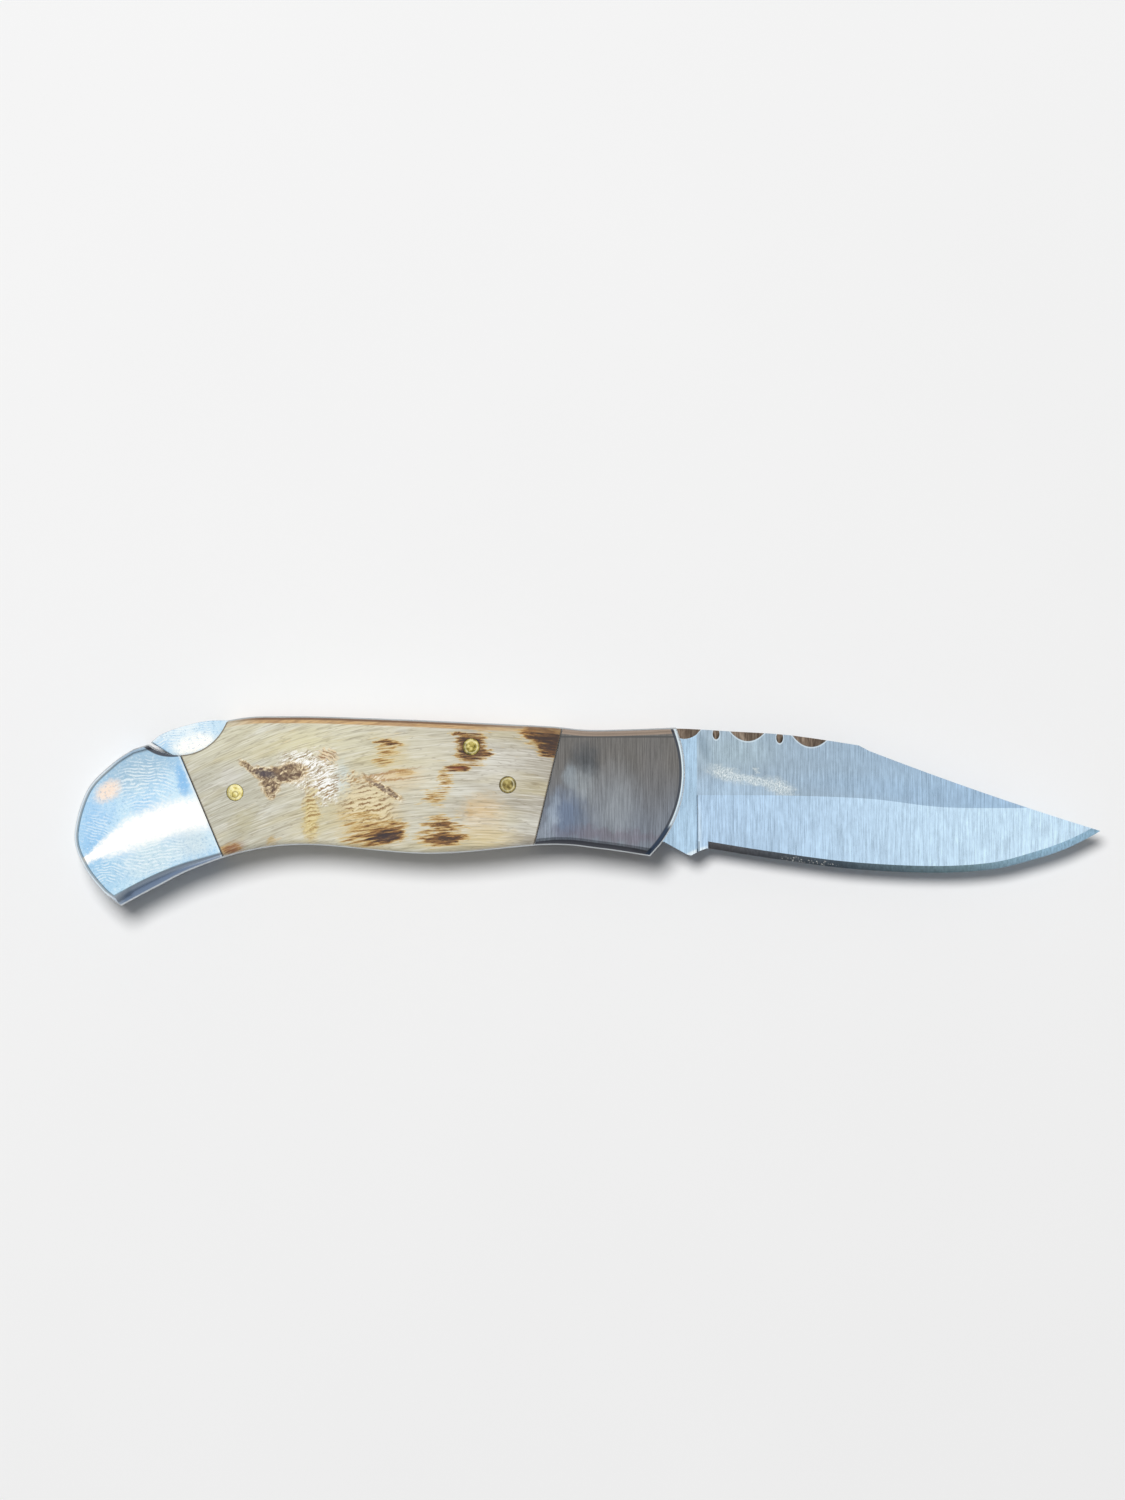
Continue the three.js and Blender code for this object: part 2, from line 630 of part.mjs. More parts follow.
// Leaf spring: a straight heel in the block, and a tapering arm that rises to the tail
function lockSpring() {
  const heelX = buttX(BUTT_BLOCK);
  const endX = heelX + SPRING_REACH;
  const barY = heightAt(armLine, endX) - SPRING_GAP;
  const start = point(heelX, heelHeight);
  const finish = point(endX, barY - SPRING_TIP / 2);
  const middle = new THREE.CubicBezierCurve(
    start,
    point(heelX + SPRING_REACH * 0.45, heelHeight),
    point(endX - SPRING_REACH * 0.4, finish.y - 0.3),
    finish,
  );
  const steps = 12;
  const upper = [];
  const lower = [];
  for (let i = 0; i <= steps; i++) {
    const t = i / steps;
    const at = middle.getPoint(t);
    const tangent = middle.getTangent(t);
    const half = THREE.MathUtils.lerp(SPRING_ROOT, SPRING_TIP, t) / 2;
    upper.push(point(at.x - tangent.y * half, at.y + tangent.x * half));
    lower.push(point(at.x + tangent.y * half, at.y - tangent.x * half));
  }
  const heelEnd = buttX(BUTT_BLOCK - SPRING_HEEL_LENGTH);
  const heelTop = heelHeight + SPRING_HEEL_DEPTH / 2;
  const heelBottom = heelHeight - SPRING_HEEL_DEPTH / 2;
  const outline = [
    point(heelEnd, heelBottom),
    point(heelX, heelBottom),
    ...lower,
    ...upper.reverse(),
    point(heelX, heelTop),
    point(heelEnd, heelTop),
  ];
  return prism(outline, Z_MIDDLE - HALF, Z_MIDDLE + HALF).subtract(hole(upperButtPin, BUTT_PIN_RADIUS));
}

function rivet(centre, side) {
  return bar(centre, SCALE_PIN_RADIUS, ...side.rivet);
}

const handle = new THREE.Group();
for (const [name, side] of Object.entries(sides)) {
  handle.add(
    piece(`liner_${name}`, liner(side), linerSteel),
    piece(`front_bolster_${name}`, frontBolster(side), brushedSteel),
    piece(`rear_bolster_${name}`, rearBolster(side), polishedSteel),
    piece(`scale_${name}`, scale(side), bone),
    piece(`front_rivet_${name}`, rivet(frontRivet, side), brass),
    piece(`rear_rivet_${name}`, rivet(rearRivet, side), brass),
  );
}
handle.add(
  piece('butt_spacer', buttSpacer(), springSteel),
  piece('lock_spring', lockSpring(), springSteel),
  piece('blade_pivot_pin', blindPin(pivot, PIVOT_PIN_RADIUS), linerSteel),
  piece('lock_bar_pin', bar(lockPin, SCALE_PIN_RADIUS, 0, Z_TOP), brass),
  piece('butt_pin_upper', blindPin(upperButtPin, BUTT_PIN_RADIUS), linerSteel),
  piece('butt_pin_lower', blindPin(lowerButtPin, BUTT_PIN_RADIUS), linerSteel),
);

const lock = new THREE.Group();
const rockerAxis = new THREE.Vector3(lockPin.x, lockPin.y, 0);
lock.position.copy(rockerAxis);
lock.add(piece('lock_bar', lockBar(), polishedSteel, rockerAxis));

const knife = new THREE.Group();
knife.add(handle, lock, piece('blade', blade(), bladeSteel));

export default knife;
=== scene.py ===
"""Looks of the folding pocket knife: open, lying on its side, tip to the right.

Lengths in the classes are millimetres, as a cutler writes them. A mesh turns into metres when its piece settles.
X runs along the knife towards the tip, Y towards the spine and Z up through the thickness.
"""

import logging
import math
from contextlib import contextmanager
from dataclasses import dataclass, field
from enum import Enum
from typing import Callable, Iterable, Iterator, Sequence, Union

import bmesh
import bpy
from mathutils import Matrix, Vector


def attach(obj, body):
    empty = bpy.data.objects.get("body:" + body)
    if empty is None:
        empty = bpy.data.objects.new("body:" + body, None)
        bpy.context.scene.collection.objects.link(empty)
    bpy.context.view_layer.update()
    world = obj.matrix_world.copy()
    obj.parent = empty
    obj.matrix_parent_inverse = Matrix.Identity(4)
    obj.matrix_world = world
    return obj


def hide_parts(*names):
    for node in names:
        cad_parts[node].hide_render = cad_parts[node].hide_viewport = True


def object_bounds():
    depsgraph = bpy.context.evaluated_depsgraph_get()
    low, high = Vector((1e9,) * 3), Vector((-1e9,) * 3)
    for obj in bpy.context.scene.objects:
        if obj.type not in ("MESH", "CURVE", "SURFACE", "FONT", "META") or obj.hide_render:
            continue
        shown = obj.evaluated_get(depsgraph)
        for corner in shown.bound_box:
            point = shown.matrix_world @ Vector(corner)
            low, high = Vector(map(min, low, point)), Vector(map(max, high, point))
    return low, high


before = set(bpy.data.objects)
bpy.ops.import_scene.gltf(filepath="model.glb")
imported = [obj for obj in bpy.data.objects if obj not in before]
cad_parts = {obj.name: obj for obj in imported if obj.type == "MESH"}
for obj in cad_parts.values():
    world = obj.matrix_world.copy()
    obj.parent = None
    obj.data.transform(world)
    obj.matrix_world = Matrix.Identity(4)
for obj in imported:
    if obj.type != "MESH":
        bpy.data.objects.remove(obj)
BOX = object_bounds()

LOG = logging.getLogger("pocket_knife")
MM = 0.001
CORNER = 0.3  # radians by which an outline turns at a corner
STRAIGHT = 0.12  # sine of the turn below which two edges count as one line
WELD = 1e-4  # millimetres between points that are one
FAR = 2.0  # the reach past which a mark is no longer measured
DEEP = 1000.0  # half depth of a mark, right through the knife
PLAIN = (2.3, 1.5)  # depths between which the plain side gives way to the worked edge

Point = tuple[float, float]
Colour = tuple[float, float, float]
Socket = bpy.types.NodeSocket
Material = bpy.types.Material
Thing = bpy.types.Object
Value = Union[float, int, tuple, Socket]


class Body(Enum):
    """Moving bodies of the knife."""

    HANDLE = "handle"
    BLADE = "blade"
    LOCK = "lock_bar"


class Slot(Enum):
    """Material slots of the record."""

    BLADE = "blade_steel"
    POLISHED = "polished_steel"
    BRUSHED = "brushed_steel"
    LINER = "liner_steel"
    SPRING = "spring_steel"
    BONE = "bone"
    BRASS = "brass"


class Ground(Enum):
    """Finishes of the blade, in the order of its materials."""

    FLAT = 0
    GRIND = 1
    BEVEL = 2
    FILED = 3
    SPINE = 4
    RICASSO = 5


class Side(Enum):
    """The two sides of the handle."""

    TOP = 1
    BOTTOM = -1


def srgb(red: int, green: int, blue: int) -> Colour:
    """Turns a colour of 0 to 255 as seen on a screen into linear light.

    Args:
        red: Red as seen.
        green: Green as seen.
        blue: Blue as seen.

    Returns:
        The linear colour.
    """

    def linear(seen: int) -> float:
        """One channel in linear light."""
        share = seen / 255
        return share / 12.92 if share <= 0.04045 else ((share + 0.055) / 1.055) ** 2.4

    return linear(red), linear(green), linear(blue)


# Outlines


@dataclass(frozen=True)
class Spline:
    """A smooth line through its points."""

    points: tuple[Point, ...]

    def at(self, share: float) -> Point:
        """Gives one point of the line.

        Args:
            share: Place along the line's parameter, 0 to 1.

        Returns:
            The point.
        """
        last = len(self.points) - 1
        place = last * share
        start = min(int(place), last)
        t = place - start
        before = self.points[max(start - 1, 0)]
        here = self.points[start]
        following = self.points[min(start + 1, last)]
        beyond = self.points[min(start + 2, last)]

        def blend(axis: int) -> float:
            """The curve's value on one axis."""
            a, b, c, d = before[axis], here[axis], following[axis], beyond[axis]
            slope_b, slope_c = (c - a) / 2, (d - b) / 2
            cubic = (2 * b - 2 * c + slope_b + slope_c) * t**3
            return cubic + (-3 * b + 3 * c - 2 * slope_b - slope_c) * t**2 + slope_b * t + b

        return blend(0), blend(1)

    def height(self, x: float) -> float:
        """Gives the line's Y at one X, where X only grows or only falls along it.

        Args:
            x: The X to look up.

        Returns:
            The height there.
        """
        rising = self.points[-1][0] > self.points[0][0]
        low, high = 0.0, 1.0
        for _ in range(36):
            middle = (low + high) / 2
            if (self.at(middle)[0] < x) == rising:
                low = middle
            else:
                high = middle
        return self.at((low + high) / 2)[1]

    def spaced(self, count: int) -> list[Point]:
        """Spreads points evenly over the line's length.

        Args:
            count: Number of steps.

        Returns:
            count + 1 points, ends included.
        """
        fine = [self.at(i / 400) for i in range(401)]
        run = [0.0]
        for a, b in zip(fine, fine[1:]):
            run.append(run[-1] + math.dist(a, b))
        found = []
        i = 0
        for step in range(count + 1):
            goal = run[-1] * step / count
            while i < len(run) - 2 and run[i + 1] < goal:
                i += 1
            t = (goal - run[i]) / (run[i + 1] - run[i])
            found.append(tuple(a + (b - a) * t for a, b in zip(fine[i], fine[i + 1])))
        return found


def arc(centre: Point, radius: float, start: float, end: float, count: int) -> list[Point]:
    """count + 1 points on a circle's arc, from one angle to another in radians."""
    angles = [start + (end - start) * i / count for i in range(count + 1)]
    return [(centre[0] + radius * math.cos(a), centre[1] + radius * math.sin(a)) for a in angles]


def spread(start: float, end: float, count: int) -> list[float]:
    """Evenly spread numbers from start to end, both included."""
    return [start + (end - start) * i / count for i in range(count + 1)]


def smoothstep(value: float, low: float, high: float) -> float:
    """A smooth step from 0 at low to 1 at high."""
    t = min(1.0, max(0.0, (value - low) / (high - low)))
    return t * t * (3 - 2 * t)


def clear_corners(points: Sequence[Point], reach: float, turn: float = CORNER) -> list[Point]:
    """Drops the points just beside sharp corners, so that the outline can be drawn inwards.

    Args:
        points: A closed outline, anticlockwise.
        reach: How near to a corner points are dropped.
        turn: Angle in radians that makes a corner.

    Returns:
        The outline with its corners and all other points.
    """

    def bend(i: int) -> float:
        """The angle by which the outline turns at one point."""
        a, b, c = points[i - 1], points[i], points[(i + 1) % len(points)]
        first = math.atan2(b[1] - a[1], b[0] - a[0])
        second = math.atan2(c[1] - b[1], c[0] - b[0])
        return abs(math.remainder(second - first, math.tau))

    corners = [p for i, p in enumerate(points) if bend(i) > turn]
    return [p for p in points if p in corners or all(math.dist(p, c) > reach for c in corners)]


def inset(points: Sequence[Point], distances: Sequence[float]) -> list[Point]:
    """Draws a closed anticlockwise outline inwards, with sharp corners kept.

    Args:
        points: The outline.
        distances: How far each edge goes inwards, the first edge being that from the first point to the second.

    Returns:
        The smaller outline, point for point.
    """
    moved = []
    for i, here in enumerate(points):
        before, following = Vector(points[i - 1]), Vector(points[(i + 1) % len(points)])
        a = (Vector(here) - before).normalized()
        b = (following - Vector(here)).normalized()
        left, right = Vector((-a.y, a.x)), Vector((-b.y, b.x))
        turn = left.x * right.y - left.y * right.x
        first, second = distances[i - 1], distances[i]
        if abs(turn) < STRAIGHT:
            step = (left + right).normalized() * (first + second) / 2
        else:
            step = Vector((first * right.y - second * left.y, second * left.x - first * right.x)) / turn
        moved.append(tuple(Vector(here) + step))
    return moved


def evened(values: Sequence[float], points: Sequence[Point], rounds: int = 14) -> list[float]:
    """Evens out a value along the edges of a closed outline, but not across its corners.

    Args:
        values: One value for each edge.
        points: The outline.
        rounds: How often neighbours are averaged.

    Returns:
        The evened values.
    """
    count = len(points)
    sharp = []
    for i in range(count):
        a = Vector(points[i]) - Vector(points[i - 1])
        b = Vector(points[(i + 1) % count]) - Vector(points[i])
        sharp.append(a.angle(b) > CORNER)
    found = list(values)
    for _ in range(rounds):
        found = [
            (found[i] if sharp[i] else found[i - 1]) / 4
            + found[i] / 2
            + (found[i] if sharp[(i + 1) % count] else found[(i + 1) % count]) / 4
            for i in range(count)
        ]
    return found


# Sizes shared by the pieces


@dataclass(frozen=True)
class Layers:
    """Heights of the layers of the knife as it lies on its side."""

    scale: float = 3.5
    liner: float = 1.0
    blade: float = 2.5
    play: float = 0.125

    @property
    def total(self) -> float:
        """Thickness of the whole handle."""
        return 2 * (self.scale + self.liner) + self.slot

    @property
    def slot(self) -> float:
        """Width of the gap between the liners."""
        return self.blade + 2 * self.play

    @property
    def middle(self) -> float:
        """Height of the blade's middle plane."""
        return self.total / 2

    def skin(self, side: Side) -> tuple[float, float]:
        """Inner and outer height of a side's scale and bolsters."""
        return self.mirrored(side, self.total - self.scale), self.mirrored(side, self.total)

    def mirrored(self, side: Side, height: float) -> float:
        """A height of the top side, or its mirror image on the bottom side."""
        return height if side is Side.TOP else self.total - height


@dataclass(frozen=True)
class HandleForm:
    """Outline of the handle, its joints, its thumb notch and its pins."""

    to_butt: float = 80.0
    to_front: float = 9.2
    front_radius: float = 17.2
    front_arc_height: float = 5.8
    spine: float = 12.35
    crown: float = 1.65
    dip: float = 0.35
    belly: float = 4.8
    swell: float = 1.3
    front_depth: float = 6.45
    butt_drop: float = 13.7
    liner_proud: float = 0.2
    front_joint_top: float = 8.7
    front_joint_bottom: float = 12.8
    rear_joint_top: float = 13.9
    rear_joint_bottom: float = 21.1
    joint_gap: float = 0.14
    notch_radius: float = 7.5
    notch_from_butt: float = 15.3
    notch_above_spine: float = 3.45
    pin_radius: float = 1.2
    pin_fit: float = 0.05
    lock_pin_back: float = 22.0
    lock_pin_below_spine: float = 3.55

    def butt_x(self, from_butt: float) -> float:
        """X at a distance from the butt."""
        return from_butt - self.to_butt

    @property
    def front_centre(self) -> Point:
        """Centre of the arc at the front of the handle."""
        return self.to_front - self.front_radius, self.front_arc_height

    @property
    def shoulder(self) -> Point:
        """Where the spine ends at the butt."""
        return self.butt_x(8.6), self.spine - 3.15

    @property
    def tip(self) -> Point:
        """The lowest corner of the butt."""
        return self.butt_x(6.8), -self.butt_drop

    @property
    def spine_line(self) -> Spline:
        """Spine of the handle, from the front back to the shoulder of the butt."""
        back = self.to_butt
        corner = self.front_x(self.spine)
        return Spline((
            (corner, self.spine),
            (-back * 0.05, self.spine - self.dip),
            (-back * 0.13, self.spine + self.crown * 0.1),
            (-back * 0.24, self.spine + self.crown * 0.37),
            (-back * 0.42, self.spine + self.crown * 0.76),
            (-back * 0.6, self.spine + self.crown),
            (self.butt_x(22.5), self.spine + self.crown * 0.64),
            self.shoulder,
        ))

    @property
    def butt_line(self) -> Spline:
        """Round end of the butt."""
        top = self.shoulder[1]
        return Spline((
            self.shoulder,
            (self.butt_x(5.4), top - 2.2),
            (self.butt_x(1.8), top - 6.1),
            (self.butt_x(0), -self.butt_drop * 0.24),
            (self.butt_x(1.3), -self.butt_drop * 0.57),
            (self.butt_x(4.2), -self.butt_drop * 0.85),
            self.tip,
        ))

    @property
    def belly_line(self) -> Spline:
        """Belly of the handle, from the butt's tip to the front."""
        back = self.to_butt
        return Spline((
            self.tip,
            (self.butt_x(11.9), -self.butt_drop * 0.8),
            (self.butt_x(17.5), -self.butt_drop * 0.6),
            (self.butt_x(25.3), -self.belly - self.swell * 0.7),
            (-back * 0.57, -self.belly),
            (-back * 0.35, -self.belly - self.swell),
            (-back * 0.14, -self.belly),
            (-back * 0.04, -self.belly - self.swell * 0.45),
            (self.front_x(-self.front_depth), -self.front_depth),
        ))

    def front_x(self, y: float) -> float:
        """X of the front arc at one height."""
        centre = self.front_centre
        return centre[0] + math.sqrt(self.front_radius**2 - (y - centre[1]) ** 2)

    def outline(self) -> list[Point]:
        """Lays the whole outline, anticlockwise, without points beside its corners.

        Returns:
            The closed outline.
        """
        centre = self.front_centre
        low = math.asin((-self.front_depth - centre[1]) / self.front_radius)
        high = math.asin((self.spine - centre[1]) / self.front_radius)
        points = [
            *arc(centre, self.front_radius, low, high, 36)[:-1],
            *self.spine_line.spaced(120)[:-1],
            *self.butt_line.spaced(56)[:-1],
            *self.belly_line.spaced(110)[:-1],
        ]
        return clear_corners(points, 2.1)

    def edge_at(self, x: float, y: float) -> tuple[float, float]:
        """Tells how the outer edge is rounded at one place of the outline.

        Args:
            x: Its X.
            y: Its Y.

        Returns:
            How far the rounding reaches, and how flat it is, 0 for a round one and 1 for a chamfer.
        """
        if x > 0 and abs(math.dist((x, y), self.front_centre) - self.front_radius) < 0.05:
            return 0.38, 0.5
        if y > 0:
            return (0.6, 0.3) if x < self.shoulder[0] else (0.95, 0.4)
        if x < self.tip[0]:
            return 0.6, 0.3
        rear = smoothstep(-x, 57.0, 70.0)
        front = smoothstep(x, -14.0, -9.5)
        return 0.7 + 0.95 * rear + 0.3 * front, 0.3 + 0.5 * max(rear, front)

    def joint(self, top_x: float, bottom_x: float) -> Callable[[float], float]:
        """X at any height of a sloping joint, from its X at the spine and at the belly."""
        return lambda y: bottom_x + (top_x - bottom_x) * (y + self.belly) / (self.spine + self.belly)

    @property
    def front_joint(self) -> Callable[[float], float]:
        """Joint between the scale and the front bolster."""
        return self.joint(-self.front_joint_top, -self.front_joint_bottom)

    @property
    def rear_joint(self) -> Callable[[float], float]:
        """Joint between the scale and the rear bolster."""
        return self.joint(self.butt_x(self.rear_joint_top), self.butt_x(self.rear_joint_bottom))

    @property
    def notch_centre(self) -> Point:
        """Centre of the round thumb notch."""
        return self.butt_x(self.notch_from_butt), self.spine + self.notch_above_spine

    @property
    def lock_pin(self) -> Point:
        """Centre of the pin that the lock bar rocks on."""
        return -self.lock_pin_back, self.spine_line.height(-self.lock_pin_back) - self.lock_pin_below_spine

    @property
    def scale_pins(self) -> list[Point]:
        """Centres of the three brass pins: lock bar, front rivet and rear rivet."""
        front = (self.front_joint(4.0) - 6.0, 4.0)
        rear = (self.rear_joint(2.9) + 5.7, 2.9)
        return [self.lock_pin, front, rear]


# Meshes


def linked(name: str, data: bpy.types.ID) -> Thing:
    """A new object in the scene, at the origin."""
    made = bpy.data.objects.new(name, data)
    bpy.context.scene.collection.objects.link(made)
    return made


def meshed(name: str, points: Sequence, edges: Sequence = (), faces: Sequence = ()) -> Thing:
    """A new object from points, edges and faces."""
    mesh = bpy.data.meshes.new(name)
    mesh.from_pydata(points, edges, faces)
    return linked(name, mesh)


@contextmanager
def opened(made: Thing) -> Iterator[bmesh.types.BMesh]:
    """Opens an object's mesh to work on, and writes it back.

    Args:
        made: The object.

    Yields:
        Its mesh.
    """
    form = bmesh.new()
    form.from_mesh(made.data)
    yield form
    form.to_mesh(made.data)
    form.free()


class Solid:
    """A closed mesh under construction, in millimetres."""

    def __init__(self, name: str) -> None:
        """Starts an empty solid with the name of its piece."""
        self.name = name
        self.form = bmesh.new()

    def rings(self, rings: Sequence[Sequence[tuple[float, float, float]]]) -> "Solid":
        """Builds a closed skin through rings of points, with a flat face over each end.

        Args:
            rings: Rings with the same number of points each.

        Returns:
            This solid.
        """
        rows = [[self.form.verts.new(p) for p in ring] for ring in rings]
        for low, high in zip(rows, rows[1:]):
            for i in range(len(low)):
                j = (i + 1) % len(low)
                self.form.faces.new((low[i], low[j], high[j], high[i]))
        self.form.faces.new(rows[0][::-1])
        self.form.faces.new(rows[-1])
        bmesh.ops.recalc_face_normals(self.form, faces=self.form.faces)
        return self

    def keep_side(self, joint: Callable[[float], float], offset: float, keep_right: bool) -> "Solid":
        """Cuts the solid along a joint and closes the cut.

        Args:
            joint: X of the joint at any height.
            offset: How far the cut stands from the joint in X.
            keep_right: Whether the part with greater X is kept.

        Returns:
            This solid.
        """
        low = Vector((joint(-10) + offset, -10, 0))
        high = Vector((joint(10) + offset, 10, 0))
        along = high - low
        normal = Vector((along.y, -along.x, 0)).normalized()
        geometry = [*self.form.verts, *self.form.edges, *self.form.faces]
        bmesh.ops.bisect_plane(
            self.form, geom=geometry, dist=1e-6, plane_co=low, plane_no=normal,
            clear_outer=not keep_right, clear_inner=keep_right,
        )
        edges = [e for e in self.form.edges if e.is_boundary]
        bmesh.ops.contextual_create(self.form, geom=edges)
        bmesh.ops.recalc_face_normals(self.form, faces=self.form.faces)
        return self

    def finished(self) -> Thing:
        """Turns the solid into an object, still in millimetres.

        Returns:
            The object, at the origin.
        """
        mesh = bpy.data.meshes.new(self.name)
        self.form.to_mesh(mesh)
        self.form.free()
        return linked(self.name, mesh)


def bar(name: str, centre: Point, radius: float, low: float, high: float, sides: int = 48) -> Thing:
    """A round bar along Z between two heights, to cut with."""
    circle = arc(centre, radius, 0, math.tau, sides)[:-1]
    return Solid(name).rings([[(x, y, z) for x, y in circle] for z in (low, high)]).finished()


def baked(made: Thing) -> Thing:
    """Turns an object's modifiers into its own mesh.

    Args:
        made: The object.

    Returns:
        The same object, without modifiers.
    """
    bpy.context.view_layer.update()
    graph = bpy.context.evaluated_depsgraph_get()
    mesh = bpy.data.meshes.new_from_object(made.evaluated_get(graph))
    made.modifiers.clear()
    old = made.data
    made.data = mesh
    mesh.name = made.name
    bpy.data.meshes.remove(old)
    return made


def cut(made: Thing, tools: Iterable[Thing]) -> Thing:
    """Cuts tools out of an object, one after another.

    Args:
        made: The object to cut.
        tools: The cutting solids, which are used up.

    Returns:
        The same object.
    """
    for tool in tools:
        modifier = made.modifiers.new("cut", "BOOLEAN")
        modifier.operation = "DIFFERENCE"
        modifier.solver = "EXACT"
        modifier.object = tool
        baked(made)
        mesh = tool.data
        bpy.data.objects.remove(tool)
        bpy.data.meshes.remove(mesh)
    return made


def broken_edges(made: Thing, width: float, angle: float = 40.0) -> Thing:
    """Breaks the sharp edges of an object, as a file or a buffing wheel does.

    Args:
        made: The object.
        width: Width of the broken edge.
        angle: Edges sharper than this many degrees are broken.

    Returns:
        The same object.
    """
    modifier = made.modifiers.new("edges", "BEVEL")
    modifier.width = width
    modifier.segments = 2
    modifier.limit_method = "ANGLE"
    modifier.angle_limit = math.radians(angle)
    modifier.miter_outer = "MITER_ARC"
    return baked(made)


def smoothed(made: Thing, angle: float = 30.0) -> Thing:
    """Shades an object smoothly, except across edges sharper than an angle in degrees."""
    mesh = made.data
    mesh.shade_smooth()
    mesh.set_sharp_from_angle(angle=math.radians(angle))
    modifier = made.modifiers.new("weights", "WEIGHTED_NORMAL")
    modifier.keep_sharp = True
    return baked(made)


# Node trees


class Graph:
    """A node tree with short calls."""

    def __init__(self, tree: bpy.types.NodeTree) -> None:
        """Takes an empty tree to fill."""
        self.tree = tree

    def node(self, kind: str, inputs: dict[Union[str, int], Value] | None = None, **settings: object) -> bpy.types.Node:
        """Adds a node.

        Args:
            kind: Blender's name for the node type.
            inputs: Values or sockets for its inputs, by name or place.
            settings: Properties of the node.

        Returns:
            The node.
        """
        made = self.tree.nodes.new(kind)
        for name, value in settings.items():
            setattr(made, name, value)
        for place, value in (inputs or {}).items():
            self.plug(made.inputs[place], value)
        return made

    def out(self, kind: str, inputs: dict[Union[str, int], Value] | None = None, **settings: object) -> Socket:
        """Adds a node and gives its first output."""
        return self.node(kind, inputs, **settings).outputs[0]

    def plug(self, socket: Socket, value: Value) -> None:
        """Links a value to an input or sets it there. A colour of three channels is opaque."""
        if isinstance(value, Socket):
            self.tree.links.new(value, socket)
        else:
            opaque = socket.type == "RGBA" and len(value) == 3
            socket.default_value = (*value, 1.0) if opaque else value

    def math(self, operation: str, first: Value, second: Value = 0.0) -> Socket:
        """One sum of two values, such as ADD or MULTIPLY."""
        return self.out("ShaderNodeMath", {0: first, 1: second}, operation=operation)

    def times(self, value: Value, *others: Value) -> Value:
        """The product of several values."""
        for other in others:
            value = self.math("MULTIPLY", value, other)
        return value

    def plus(self, first: Value, second: Value) -> Socket:
        """The sum of two values."""
        return self.math("ADD", first, second)

    def minus(self, first: Value, second: Value) -> Socket:
        """The difference of two values."""
        return self.math("SUBTRACT", first, second)

    def vector(self, x: Value = 0.0, y: Value = 0.0, z: Value = 0.0) -> Socket:
        """A vector from its parts."""
        return self.out("ShaderNodeCombineXYZ", {0: x, 1: y, 2: z})

    def parts(self, vector: Socket) -> Sequence[Socket]:
        """X, Y and Z of a vector."""
        return self.node("ShaderNodeSeparateXYZ", {0: vector}).outputs

    def ramp(self, value: Socket, stops: Sequence[tuple[float, Colour]]) -> Socket:
        """A colour that runs through stops as a value goes from 0 to 1."""
        made = self.node("ShaderNodeValToRGB", {0: value})
        elements = made.color_ramp.elements
        for place, _ in stops[2:]:
            elements.new(place)
        for element, (place, colour) in zip(elements, stops):
            element.position = place
            element.color = (*colour, 1.0)
        return made.outputs[0]


